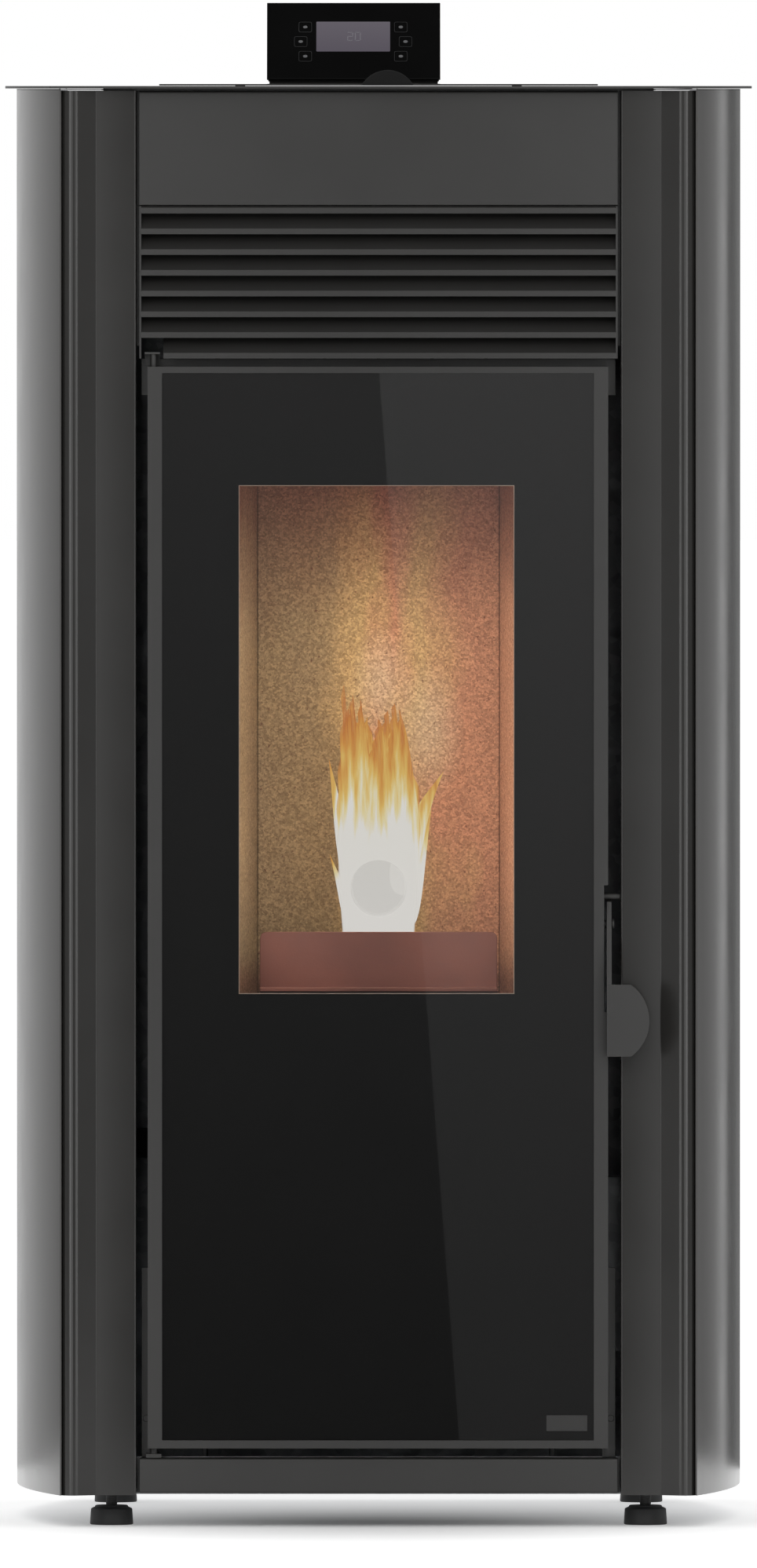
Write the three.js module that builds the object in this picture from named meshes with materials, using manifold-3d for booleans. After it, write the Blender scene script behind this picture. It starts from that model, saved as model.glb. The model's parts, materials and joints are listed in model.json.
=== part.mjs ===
// Pellet stove: a free-standing room heater with a tall glazed door, bowed side panels and a hopper on top.
// Millimetres, +Z up, front towards -Y. The origin is on the floor under the middle of the overall box.
import * as THREE from 'three';
import { mergeVertices } from 'three/addons/utils/BufferGeometryUtils.js';
import { ConvexGeometry } from 'three/addons/geometries/ConvexGeometry.js';
import Module from 'manifold-3d';

const wasm = await Module();
wasm.setup();

// ---------------------------------------------------------------------------------------------------
// Driving dimensions
// ---------------------------------------------------------------------------------------------------

// Fits
const seat = 0.3; // gap left between pieces that rest on each other
const runningGap = 0.4; // radial gap round a shaft, a pin or a screw
const holeGap = 1; // radial gap where a pipe or a plug passes through a sheet
const overlap = 1; // how far two lumps of one welded piece run into each other

// Levelling feet
const footPadRadius = 17.25;
const footPadHeight = 15.6;
const footPadChamfer = 2.5;
const footStudRadius = 4.6;
const footStudReveal = 10; // bare stud between the pad and the body
const footStudRise = 22; // stud left above the tray floor
const footX = 213;
const frontFootInset = 34; // from the front edge of the tray
const rearFootInset = 50; // from the rear edge of the tray
const footNutFlats = 17.4;
const footNutBelow = 1.6;
const footNutAbove = 6;

// Casing
const bodyDepth = 556; // column faces to the outside of the rear panel
const columnHeight = 1118.4;
const columnSheet = 2;
const columnInnerX = 192.8;
const columnFlat = 31.9;
const facetWidth = 14.1;
const facetTilt = THREE.MathUtils.degToRad(30);
const beadRadius = 9.5;
const columnReturn = 25;
const columnFlank = 15;
const columnCornerRadius = 5;
const sideSheet = 1.2;
const sideGroove = 0.4;
const sideBulge = 36;
const sideFrontReach = 4; // panel edge ahead of the column faces
const sideFlangeReach = 8; // top flange ahead of the column faces
const sideFlangeInnerX = 219;
const rearSheet = 1.5;
const traySheet = 2;
const trayFlangeHeight = 30;
const topSheet = 2;
const topOverhang = 9.35;
const topFrontOverhang = 14;
const topRearOverhang = 15;
const frontSheet = 1.5;
const frontPanelHeight = 91.5;
const frontPanelReturn = 15;
const frontPanelGap = 2.5; // between the front panels and the columns
const railLift = 1.4;
const railHeight = 28;

// Warm-air grille above the door
const louvreCount = 8;
const louvrePitch = 16.5;
const louvreLip = 4.4;
const louvreBladeRun = 14;
const louvreBladeRise = 12;
const louvreSheet = 1.2;
const grilleDepth = 20;
const grilleGap = 6.5; // open band between the door and the lowest louvre
const grillePanelGap = 1.7;

// Door
const doorLeftGap = 9.05;
const doorRightGap = 10;
const doorBottomGap = 8;
const doorProud = 4;
const doorDepth = 20;
const doorSheet = 2;
const doorSideBar = 11.4;
const doorTopBar = 5;
const doorBottomBar = 6.4;
const glassThickness = 4;
const glassLap = 5; // glass edge hidden behind the bars
const retainerThickness = 3;
const retainerInset = 3;
const windowHalfWidth = 122;
const windowRise = 17; // above the hearth
const windowTopGap = 2; // below the top of the lining
const sealSideInset = 42.8; // from the columns
const sealWidth = 10;
const sealTop = 60; // below the top of the door
const sealDrop = 13; // below the floor of the ash room
const hingeInset = 4.75; // hinge axis from the door's left edge
const hingeDepth = 10; // hinge axis behind the door's front face
const upperPinRadius = 2.7;
const lowerPinRadius = 3.15;
const hingePinEngagement = 10;
const hingePlate = 1.6;
const upperHingeRise = 10; // top of the door to the underside of the upper hinge plate
const hingePlateWidth = 12.3;

// Latch lever and its striker
const latchGauge = 4;
const latchEdgeGap = 1.2; // lever inside the door's right edge
const latchPivotHeight = 417.6; // above the bottom of the door
const latchPivotRadius = 3;
const latchPivotDepth = 13; // behind the door's front face
const latchHub = 6;
const pivotHeadThickness = 2;
const strikerRise = 21.9; // striker above the lever's pivot
const strikerRadius = 2.5;
const strikerHeadStart = 178.75;
const fingerGap = 0.6;
const fingerThickness = 4.7;
const fingerRise = 1.6;
const tabReach = 24; // tab face ahead of the column faces
const tabSheet = 3;
const tabTopDrop = 47.6; // below the pivot
const tabHeight = 57.4;
const tabStraight = 19.3;
const tabBulge = 14.7;
const armDepth = 9;
const notchGauge = 2; // clearance round the lever in the door's edge
const notchAbove = 31;
const notchBelow = 70;

// Door surround and firebox front plate
const surroundSheet = 2;
const surroundEdgeGap = 4.05; // between the surround and the columns
const surroundLegWidth = 10.45;
const surroundTopLeg = 18;
const surroundBand = 11;
const lowerLegHeight = 151;
const lowerLegScrewHeight = 31;
const lowerLegScrewRadius = 2.6;
const facePlateGap = 2.5; // swing room behind the door
const facePlate = 3;

// Firebox
const fireboxHalfWidth = 140;
const fireboxDepth = 237.5;
const fireboxWall = 3;
const ashRoomHeight = 94;
const chamberHeight = 472;
const mouthSideInset = 10; // from the firebox's sides
const mouthSill = 10;
const mouthHeader = 17;
const ashDoorSideInset = 18;
const ashDoorHeader = 7;
const ashDropHalfWidth = 100;
const ashDropDepth = 60;
const smokeSlotHeight = 11;

// Vermiculite lining
const linerCornerWidth = 40; // side lining at the back of the chamber
const backLinerThickness = 27.7;
const linerFrontWidth = 12; // side lining at the front of the chamber
const sideLinerDepth = 195;
const baffleThickness = 15;
const baffleTopGap = 11.7; // smoke passes over the baffle
const baffleDepth = 195;

// Burn pot, its cradle and the ash guard
const potHalfWidth = 48;
const potDepth = 80;
const potHeight = 48;
const potWall = 4;
const potLip = 6;
const potLipThickness = 3;
const potGrateHoleRadius = 3;
const potGrateHoles = 4;
const cradleWall = 3;
const cradleGap = 4; // between the pot and the cradle wall
const cradleHeight = 67.4;
const cradleRearRoom = 34; // plenum behind the pot
const guardSheet = 3;
const guardHalfWidth = 94.7;
const guardHeight = 77.2;
const guardLedgeHeight = 33;
const guardLedgeDepth = 26;
const guardCornerRadius = 6;
const guardStandOff = 18; // ahead of the cradle

// Pellet feed
const chuteOuterRadius = 23;
const chuteWall = 2;
const chuteMouthHeight = 111; // above the hearth
const chuteSlope = THREE.MathUtils.degToRad(20);
const chuteMouthProud = 3;
const chuteRearReach = 61; // vertical run behind the firebox
const chuteSteps = 14;
const augerHeight = 255; // auger axis above the hearth
const augerTubeRadius = 30;
const augerTubeWall = 2;
const augerStart = 32; // behind the firebox
const augerFlightRadius = 26;
const augerShaftRadius = 8;
const augerTrunnionRadius = 6;
const augerPitch = 40;
const augerFlightAngle = THREE.MathUtils.degToRad(30);
const augerStepsPerTurn = 10;
const gearboxHalfWidth = 34;
const gearboxDepth = 36;
const augerMotorRadius = 26;
const augerMotorLength = 26;
const augerMotorRearGap = 16.2; // to the rear panel
const shaftEngagement = 12;

// Hopper
const hopperHalfWidth = 150;
const hopperFrontReach = 90; // mouth ahead of the stove's middle
const hopperLength = 260;
const hopperWall = 1.5;
const hopperRim = 15;
const hopperNeckHalfWidth = 21;
const hopperNeckFrontGap = 89; // behind the firebox
const hopperNeckRearGap = 32; // ahead of the rear end of the auger tube
const hopperNeckSide = 60; // straight neck above the auger tube
const hopperBox = 104; // straight upper part

// Lid and its hinge
const lidHalfWidth = 175.6;
const lidSheet = 1.3;
const lidFrontLap = 25; // ahead of the hopper mouth
const lidRearLap = 25;
const lidHingeBehind = 8; // hinge axis behind the lid plate
const lidHingeDrop = 3.5; // hinge axis below the top plate
const lidRodRadius = 2.5;
const lidArmX = 112;
const lidArmWidth = 8;
const lidKnuckleRadius = 5;
const lidEarWidth = 4;
const lidEarGap = 2;
const topMouthLap = 8; // top-plate mouth wider than the hopper
const lidSealWidth = 6;
const lidTabRadius = 24;
const lidTabRise = 12.4;
const lidTabX = 7.3;
const lidTabSheet = 2;

// Heat exchanger and warm-air duct
const finHeight = 62;
const finCount = 7;
const finSheet = 3;
const exchangerSideInset = 10;
const exchangerRise = 1.1; // above the bottom of the grille
const exchangerDepth = 190;
const ductWall = 1.5;
const ductHalfWidth = 170;
const ductInletHalfWidth = 120;

// Smoke side
const smokeDuctInnerX = 92; // clear of the hopper's taper
const smokeDuctSideInset = 2; // from the firebox's side
const smokeDuctDepth = 46;
const smokeDuctBottom = 130; // above the base tray
const smokeWall = 2;
const smokeFanHeight = 172; // fan axis above the base tray
const smokeScrollRadius = 70;
const smokeScrollDepth = 50;
const smokeOutletX = 120; // from the fan axis to the end of the scroll
const smokeInletRadius = 19;
const smokeWheelRadius = 54;
const smokeWheelDepth = 28;
const smokeWheelRearGap = 6;
const smokeHubRadius = 12;
const smokeShaftRadius = 4;
const smokeBladeCount = 8;
const smokeMotorRadius = 30;
const smokeMotorLength = 52;
const spigotRadius = 40;
const spigotWall = 2;
const spigotReach = 40; // flue collar behind the rear panel
const spigotX = 75; // from the fan axis

// Combustion air and igniter
const airPipeRadius = 25;
const airPipeWall = 1.5;
const airPipeLeft = 28; // left of the middle
const airPipeHeight = 30; // above the hearth
const airPipeReach = 25; // behind the rear panel
const igniterRadius = 6;
const igniterX = 32;
const igniterHeight = 34; // above the hearth
const igniterFlangeRadius = 14;
const igniterFlange = 4;
const igniterTail = 26;
const igniterTipGap = 4; // between the tip and the burn pot

// Room-air fan
const roomFanLeft = 110; // left of the middle
const roomScrollRadius = 75;
const roomScrollDepth = 80;
const roomScrollStandOff = 67; // behind the firebox
const roomOutletHeight = 130; // above the fan axis
const roomWall = 1.5;
const roomInletRadius = 40;
const roomWheelRadius = 60;
const roomWheelDepth = 56;
const roomWheelRearGap = 8;
const roomBladeCount = 12;
const roomHubRadius = 12;
const roomShaftRadius = 4;
const roomMotorRadius = 32;
const roomMotorLength = 50;
const fanFootWidth = 90;
const fanFootDepth = 30;

// Electrics
const boardHeight = 150;
const boardDepth = 150;
const boardThickness = 26;
const boardSetBack = 54.5; // behind the firebox front plate
const boardBottom = 120; // above the base tray
const inletLeft = 185; // left of the middle
const inletHeight = 262; // above the base tray
const inletHalfWidth = 14;
const inletHalfHeight = 11;
const inletFlange = 3;
const inletFlangeLap = 6;
const inletDepth = 24;
const socketHalfWidth = 11.5;
const socketHalfHeight = 8;
const socketDepth = 16;
const rockerLeft = 140; // left of the middle
const rockerHalfWidth = 8;
const rockerHalfHeight = 12;
const rockerFrameWall = 2;
const rockerFrameDepth = 18;
const rockerTravel = THREE.MathUtils.degToRad(16);
const rockerRadius = 8.5;
const rockerPinRadius = 1.5;
const ventCount = 8;
const ventPitch = 16;
const ventSlotHeight = 6;
const ventHalfWidth = 55;
const ventBottom = 20; // above the base tray

// Control panel on top
const displayWidth = 140.6;
const displayLeft = 20.2; // its middle left of the stove's
const displayTilt = THREE.MathUtils.degToRad(35);
const displayGlassHeight = 75.5;
const displayGlass = 2;
const displayShell = 4.2;
const displayShellInset = 1;
const displayRearInset = 52; // lower edge ahead of the top plate's rear edge
const displayFootSheet = 1.5;
const displayFootDepth = 52;
const displayFootFront = 3;
const displayBackHeight = 56;

// Ash drawer
const drawerSideGap = 4;
const drawerWall = 1.5;
const drawerHeight = 78;
const drawerRunnerHeight = 2;
const drawerDepth = 190;
const drawerPullHalfWidth = 25;
const drawerPullReach = 9;
const drawerPullSheet = 2;

// ---------------------------------------------------------------------------------------------------
// Levels and planes worked out from the dimensions
// ---------------------------------------------------------------------------------------------------

const overallDepth = tabReach + bodyDepth + spigotReach;
const frontY = -overallDepth / 2 + tabReach; // column faces
const rearY = frontY + bodyDepth; // outside of the rear panel

const bodyBottom = footPadHeight + footStudReveal;
const trayTop = bodyBottom + traySheet;
const columnTop = bodyBottom + columnHeight;
const sideTop = columnTop + seat + sideSheet;
const topBottom = sideTop + seat;
const topFace = topBottom + topSheet;

const facetEndX = columnInnerX + columnFlat + facetWidth;
const facetEndY = frontY - facetWidth * Math.tan(facetTilt);
const beadX = facetEndX + beadRadius * Math.sin(facetTilt);
const beadY = facetEndY + beadRadius * Math.cos(facetTilt);
const flankX = beadX + beadRadius;

const sideEndX = flankX + sideGroove + sideSheet;
const sideFrontY = frontY - sideFrontReach;
const sideChordHalf = (rearY - sideFrontY) / 2;
const sideMiddleY = (rearY + sideFrontY) / 2;
const sideRadius = (sideChordHalf ** 2 + sideBulge ** 2) / (2 * sideBulge);
const sideCentreX = sideEndX + sideBulge - sideRadius;

const trayFrontY = frontY + columnReturn + seat;
const trayRearY = rearY - rearSheet - seat;
const frontFootY = trayFrontY + frontFootInset;
const rearFootY = trayRearY - rearFootInset;

const panelHalfWidth = columnInnerX - frontPanelGap;
const surroundHalfWidth = columnInnerX - surroundEdgeGap;
const surroundLegX = surroundHalfWidth - surroundLegWidth;
const faceHalfWidth = surroundLegX - seat;
const railBottom = bodyBottom + railLift;
const railTop = railBottom + railHeight;
const doorBottom = railTop + doorBottomGap;
const frontPanelBottom = columnTop - frontPanelHeight;
const grilleTop = frontPanelBottom - grillePanelGap;
const grilleBottom = grilleTop - louvreLip - (louvreCount - 1) * louvrePitch;
const doorTop = grilleBottom - grilleGap;

const doorLeft = -columnInnerX + doorLeftGap;
const doorRight = columnInnerX - doorRightGap;
const doorFrontY = frontY - doorProud;
const doorRearY = doorFrontY + doorDepth;
const glassFrontY = doorFrontY + doorSheet + seat;
const retainerFrontY = glassFrontY + glassThickness + seat;
const retainerRearY = retainerFrontY + retainerThickness;
const hingeX = doorLeft + hingeInset;
const hingeY = doorFrontY + hingeDepth;

const faceFrontY = doorRearY + facePlateGap;
const faceRearY = faceFrontY + facePlate;
const fireboxRearY = faceRearY + fireboxDepth;
const fireboxBottom = trayTop + seat;
const exchangerTop = grilleBottom + exchangerRise;
const fireboxTop = exchangerTop - finHeight;
const chamberTop = fireboxTop - fireboxWall;
const hearthTop = chamberTop - chamberHeight;
const hearthBottom = hearthTop - fireboxWall;
const ashFloorTop = hearthBottom - ashRoomHeight;
const chamberRearY = fireboxRearY - fireboxWall;
const linerBottom = hearthTop + seat;
const baffleBottom = chamberTop - baffleTopGap - baffleThickness;
const linerTop = baffleBottom - seat;
const backLinerRearY = chamberRearY - seat;
const backLinerFrontY = backLinerRearY - backLinerThickness;
const chamberHalfWidth = fireboxHalfWidth - fireboxWall;
const mouthHalfWidth = fireboxHalfWidth - mouthSideInset;
const ashDoorHalfWidth = fireboxHalfWidth - ashDoorSideInset;
const exchangerHalfWidth = fireboxHalfWidth - exchangerSideInset;
const backLinerHalfWidth = chamberHalfWidth - linerCornerWidth;
const sideLinerFrontX = chamberHalfWidth - linerFrontWidth;
const sealHalfWidth = columnInnerX - sealSideInset;

const cradleRearY = backLinerFrontY - seat;
const cradleInnerRearY = cradleRearY - cradleWall;
const potRearY = cradleInnerRearY - cradleRearRoom;
const potFrontY = potRearY - potDepth;
const cradleFrontY = potFrontY - cradleGap - cradleWall;
const cradleHalfWidth = potHalfWidth + cradleGap + cradleWall;
const cradleTop = linerBottom + cradleHeight;
const potLipBottom = cradleTop + seat;
const guardRearY = cradleFrontY - guardStandOff;

const augerZ = hearthTop + augerHeight;
const augerFrontY = fireboxRearY + augerStart;
const gearboxRearY = rearY - rearSheet - augerMotorRearGap - augerMotorLength;
const augerRearY = gearboxRearY - gearboxDepth - seat;
const chuteDropY = fireboxRearY + chuteRearReach;
const hopperTop = topBottom - seat;
const hopperFrontY = -hopperFrontReach;
const hopperRearY = hopperFrontY + hopperLength;
const neckFrontY = fireboxRearY + hopperNeckFrontGap;
const neckRearY = augerRearY - hopperNeckRearGap;
const hopperTaperTop = hopperTop - hopperBox;
const hopperTaperBottom = augerZ + hopperNeckSide;

const lidBottom = topFace + seat;
const lidTop = lidBottom + lidSheet;
const lidFrontY = hopperFrontY - lidFrontLap;
const lidRearY = hopperRearY + lidRearLap;
const lidHingeY = lidRearY + lidHingeBehind;
const lidHingeZ = topBottom - lidHingeDrop;
const lidEarX = lidArmX + lidArmWidth / 2 + lidEarGap;

const ductFrontY = frontY + grilleDepth + seat;
const ductRearY = hopperFrontY - seat - ductWall;
const ductBottom = exchangerTop + seat;
const ductTop = grilleTop - overlap;

const smokeDuctOuterX = fireboxHalfWidth - smokeDuctSideInset;
const smokeDuctRearY = fireboxRearY + smokeDuctDepth;
const smokeFanX = (smokeDuctInnerX + smokeDuctOuterX) / 2;
const smokeFanZ = trayTop + smokeFanHeight;
const smokeScrollFrontY = smokeDuctRearY + seat;
const smokeScrollRearY = smokeScrollFrontY + smokeScrollDepth;
const flueX = smokeFanX + spigotX;

const roomFanZ = trayTop + seat + roomScrollRadius + overlap;
const roomScrollFrontY = fireboxRearY + roomScrollStandOff;
const roomScrollRearY = roomScrollFrontY + roomScrollDepth;

const smokeLine = { x: smokeFanX, z: smokeFanZ };

const displayFrontY = rearY + topRearOverhang - displayRearInset;
const displayFootBottom = topFace + seat;
const displayFootTop = displayFootBottom + displayFootSheet;
const displayThickness = displayGlass + seat + displayShell;
const displayLowZ = displayFootTop + seat + displayThickness * Math.sin(displayTilt);

const airPipeX = -airPipeLeft;
const roomFanX = -roomFanLeft;
const inletX = -inletLeft;
const rockerX = -rockerLeft;
const displayCentreX = -displayLeft;
const boardFrontY = faceRearY + boardSetBack;
const electricsZ = trayTop + inletHeight;

// ---------------------------------------------------------------------------------------------------
// Solids from three.js geometries, and the cuts and joins between them
// ---------------------------------------------------------------------------------------------------

function solidOf(geometry) {
	const bare = geometry.clone();
	bare.deleteAttribute('normal');
	bare.deleteAttribute('uv');
	const merged = mergeVertices(bare, 1e-4);
	const index = merged.getIndex().array;
	const triangles = [];
	for (let i = 0; i < index.length; i += 3) {
		const [a, b, c] = [index[i], index[i + 1], index[i + 2]];
		if (a !== b && b !== c && c !== a) triangles.push(a, b, c);
	}
	return new wasm.Manifold(new wasm.Mesh({
		numProp: 3,
		vertProperties: Float32Array.from(merged.getAttribute('position').array),
		triVerts: Uint32Array.from(triangles),
	}));
}

function geometryOf(solid) {
	const mesh = solid.getMesh();
	const geometry = new THREE.BufferGeometry();
	geometry.setAttribute('position', new THREE.BufferAttribute(mesh.vertProperties, 3));
	geometry.setIndex(new THREE.BufferAttribute(mesh.triVerts, 1));
	return geometry;
}

const join = (...solids) => solids.reduce((whole, solid) => whole.add(solid));
const cut = (solid, ...tools) => tools.reduce((rest, tool) => rest.subtract(tool), solid);

function box([x0, x1], [y0, y1], [z0, z1]) {
	const geometry = new THREE.BoxGeometry(x1 - x0, y1 - y0, z1 - z0);
	return solidOf(geometry.translate((x0 + x1) / 2, (y0 + y1) / 2, (z0 + z1) / 2));
}

// A round bar along one axis, with at as its centre line.
function rod(axis, radius, [from, to], at, sides = 24) {
	const geometry = new THREE.CylinderGeometry(radius, radius, to - from, sides);
	const middle = (from + to) / 2;
	if (axis === 'x') geometry.rotateZ(Math.PI / 2).translate(middle, at.y, at.z);
	if (axis === 'y') geometry.translate(at.x, middle, at.z);
	if (axis === 'z') geometry.rotateX(Math.PI / 2).translate(at.x, at.y, middle);
	return solidOf(geometry);
}

const extrusion = (shape, depth) => new THREE.ExtrudeGeometry(
	shape,
	{ depth, bevelEnabled: false, curveSegments: 8 },
);

// Prisms whose outline is drawn in plan (x, y), from the side (y, z) or from the front (x, z).
function planPrism(shape, [z0, z1]) {
	return solidOf(extrusion(shape, z1 - z0).translate(0, 0, z0));
}

const sideBasis = new THREE.Matrix4().makeBasis(
	new THREE.Vector3(0, 1, 0),
	new THREE.Vector3(0, 0, 1),
	new THREE.Vector3(1, 0, 0),
);

function sidePrism(shape, [x0, x1]) {
	return solidOf(extrusion(shape, x1 - x0).applyMatrix4(sideBasis).translate(x0, 0, 0));
}

function frontPrism(shape, [y0, y1]) {
	return solidOf(extrusion(shape, y1 - y0).rotateX(Math.PI / 2).translate(0, y1, 0));
}

const point = (x, y) => new THREE.Vector2(x, y);

// Outline of a sheet bent along a path, its thickness laid to the left of the path.
function sheetOutline(path, thickness) {
	const normal = (from, to) => {
		const along = to.clone().sub(from).normalize();
		return point(-along.y, along.x);
	};
	const far = path.map((here, i) => {
		const before = i > 0 ? normal(path[i - 1], here) : normal(here, path[i + 1]);
		const after = i < path.length - 1 ? normal(here, path[i + 1]) : before;
		const mitre = before.clone().add(after).multiplyScalar(thickness / (1 + before.dot(after)));
		return here.clone().add(mitre);
	});
	return new THREE.Shape([...path, ...far.reverse()]);
}

// A path through corners, each bend rounded by the radius.
function bentPath(corners, radius, steps = 3) {
	const path = new THREE.Path();
	path.moveTo(corners[0].x, corners[0].y);
	corners.slice(1, -1).forEach((corner, i) => {
		const start = corners[i].clone().sub(corner).setLength(radius).add(corner);
		const end = corners[i + 2].clone().sub(corner).setLength(radius).add(corner);
		path.lineTo(start.x, start.y);
		path.quadraticCurveTo(corner.x, corner.y, end.x, end.y);
	});
	const last = corners[corners.length - 1];
	path.lineTo(last.x, last.y);
	return path.getPoints(steps);
}

// Plan outline between the two bowed sides, drawn in by inset.
function bowedPlan(inset, y0, y1) {
	const radius = sideRadius - inset;
	const start = Math.asin((y0 - sideMiddleY) / radius);
	const end = Math.asin((y1 - sideMiddleY) / radius);
	const shape = new THREE.Shape();
	shape.absarc(sideCentreX, sideMiddleY, radius, start, end, false);
	shape.absarc(-sideCentreX, sideMiddleY, radius, Math.PI - end, Math.PI - start, false);
	return shape;
}

const frameX = (half) => [-half, half];

// ---------------------------------------------------------------------------------------------------
// Finishes
// ---------------------------------------------------------------------------------------------------

const finish = (color, roughness, metalness) =>
	new THREE.MeshStandardMaterial({ color, roughness, metalness });

const finishes = {
	casing: () => finish(0x434240, 0.5, 0.3),
	side: () => finish(0x6b6967, 0.3, 0.3),
	innerSteel: () => finish(0x77787a, 0.45, 0.8),
	blackSteel: () => finish(0x1e1e1e, 0.6, 0.4),
	glass: () => finish(0x0c0c0c, 0.1, 0),
	rope: () => finish(0xb9b4a8, 0.95, 0),
	vermiculite: () => finish(0xa98659, 0.95, 0),
	castIron: () => finish(0x3a3634, 0.7, 0.5),
	motor: () => finish(0x8f9092, 0.4, 0.8),
	rubber: () => finish(0x1a1a1a, 0.85, 0),
	plastic: () => finish(0x141414, 0.4, 0),
};

const stove = new THREE.Group();
stove.name = 'pellet_stove';

function addPart(name, solid, material, parent = stove) {
	const mesh = new THREE.Mesh(geometryOf(solid), material);
	mesh.name = name;
	parent.add(mesh);
	return mesh;
}

// ---------------------------------------------------------------------------------------------------
// Base and levelling feet
// ---------------------------------------------------------------------------------------------------

const footPlaces = {
	front_left: [-footX, frontFootY],
	front_right: [footX, frontFootY],
	rear_left: [-footX, rearFootY],
	rear_right: [footX, rearFootY],
};

function baseTray() {
	const floor = planPrism(bowedPlan(sideSheet + seat, trayFrontY, trayRearY), [bodyBottom, trayTop]);
	const flangeZ = [bodyBottom, bodyBottom + trayFlangeHeight];
	const rim = cut(
		planPrism(bowedPlan(sideSheet + seat, trayFrontY, trayRearY), flangeZ),
		planPrism(
			bowedPlan(sideSheet + seat + traySheet, trayFrontY + traySheet, trayRearY - traySheet),
			[bodyBottom - overlap, flangeZ[1] + overlap],
		),
	);
	let tray = join(floor, rim);
	for (const [x, y] of Object.values(footPlaces)) {
		const nutZ = [bodyBottom - footNutBelow, trayTop + footNutAbove];
		tray = tray.add(rod('z', footNutFlats / 2 / Math.cos(Math.PI / 6), nutZ, { x, y }, 6));
		const boreZ = [nutZ[0] - overlap, nutZ[1] + overlap];
		tray = cut(tray, rod('z', footStudRadius + runningGap, boreZ, { x, y }, 16));
	}
	return tray;
}

function levellingFoot() {
	const profile = [
		point(0, 0),
		point(footPadRadius - footPadChamfer, 0),
		point(footPadRadius, footPadChamfer),
		point(footPadRadius, footPadHeight - footPadChamfer),
		point(footPadRadius - footPadChamfer, footPadHeight),
		point(footStudRadius, footPadHeight),
		point(footStudRadius, trayTop + footStudRise),
		point(0, trayTop + footStudRise),
	];
	return solidOf(new THREE.LatheGeometry(profile, 16).rotateX(Math.PI / 2));
}

addPart('base_tray', baseTray(), finishes.innerSteel());
for (const [place, [x, y]] of Object.entries(footPlaces)) {
	addPart(`levelling_foot_${place}`, levellingFoot(), finishes.rubber()).position.set(x, y, 0);
}

// ---------------------------------------------------------------------------------------------------
// Casing
// ---------------------------------------------------------------------------------------------------

// Front column: return, flat face, slanting facet, round bead and flank, folded from one sheet.
function column(side) {
	const face = bentPath([
		point(columnInnerX, frontY + columnReturn),
		point(columnInnerX, frontY),
		point(columnInnerX + columnFlat, frontY),
		point(facetEndX, facetEndY),
	], columnSheet);
	const bead = new THREE.Path();
	bead.absarc(beadX, beadY, beadRadius, -Math.PI / 2 - facetTilt, 0, false);
	const path = [...face.slice(0, -1), ...bead.getPoints(5), point(flankX, frontY + columnFlank)];
	const section = sheetOutline(path, columnSheet).getPoints();
	const shape = new THREE.Shape(section.map((corner) => point(corner.x * side, corner.y)));
	const whole = planPrism(shape, [bodyBottom, columnTop]);
	const round = bentPath([
		point(columnInnerX - overlap, bodyBottom + columnCornerRadius + overlap),
		point(columnInnerX, bodyBottom),
		point(columnInnerX + columnCornerRadius + overlap, bodyBottom - overlap),
	], columnCornerRadius);
	const corner = new THREE.Shape([
		...round.map(({ x, y }) => point(x * side, y)),
		point((columnInnerX - overlap) * side, bodyBottom - overlap),
	]);
	return cut(whole, frontPrism(corner, [frontY - overlap, frontY + columnReturn + overlap]));
}

// Side panel: a tall bowed sheet with a flange folded in over the column.
function sidePanel(side) {
	const innerRadius = sideRadius - sideSheet;
	const arcAngle = (y, radius) => Math.asin((y - sideMiddleY) / radius);
	const outerArc = new THREE.Path();
	const outerAngles = [arcAngle(sideFrontY, sideRadius), arcAngle(rearY, sideRadius)];
	outerArc.absarc(sideCentreX, sideMiddleY, sideRadius, ...outerAngles, false);
	const innerArc = new THREE.Path();
	const innerAngles = [arcAngle(rearY, innerRadius), arcAngle(sideFrontY, innerRadius)];
	innerArc.absarc(sideCentreX, sideMiddleY, innerRadius, ...innerAngles, true);
	const flip = (points) => points.map((corner) => point(corner.x * side, corner.y));
	const outer = outerArc.getPoints(8);
	const inner = innerArc.getPoints(8);
	const wall = planPrism(new THREE.Shape(flip([...outer, ...inner])), [bodyBottom, sideTop]);
	const flange = planPrism(
		new THREE.Shape(flip([
			...outer,
			point(sideFlangeInnerX, rearY),
			point(sideFlangeInnerX, frontY - sideFlangeReach + overlap),
			point(sideFlangeInnerX + overlap, frontY - sideFlangeReach),
			point(outer[0].x - sideSheet, frontY - sideFlangeReach),
		])),
		[sideTop - sideSheet, sideTop],
	);
	return join(wall, flange);
}

function rearPanel() {
	const halfWidth = sideEndX - sideSheet - seat;
	const rockerHoleGap = rockerFrameWall + holeGap;
	const y = [rearY - rearSheet, rearY];
	const through = [y[0] - overlap, y[1] + overlap];
	let panel = box(frameX(halfWidth), y, [bodyBottom, columnTop]);
	panel = cut(
		panel,
		rod('y', spigotRadius + holeGap, through, { x: flueX, z: smokeFanZ }),
		rod('y', airPipeRadius + holeGap, through, { x: airPipeX, z: hearthTop + airPipeHeight }),
		box(
			[inletX - inletHalfWidth - holeGap, inletX + inletHalfWidth + holeGap],
			through,
			[electricsZ - inletHalfHeight - holeGap, electricsZ + inletHalfHeight + holeGap],
		),
		box(
			[rockerX - rockerHalfWidth - rockerHoleGap, rockerX + rockerHalfWidth + rockerHoleGap],
			through,
			[electricsZ - rockerHalfHeight - rockerHoleGap, electricsZ + rockerHalfHeight + rockerHoleGap],
		),
	);
	for (let i = 0; i < ventCount; i++) {
		const z = trayTop + ventBottom + i * ventPitch;
		const slotX = [roomFanX - ventHalfWidth, roomFanX + ventHalfWidth];
		panel = cut(panel, box(slotX, through, [z, z + ventSlotHeight]));
	}
	return panel;
}

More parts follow.
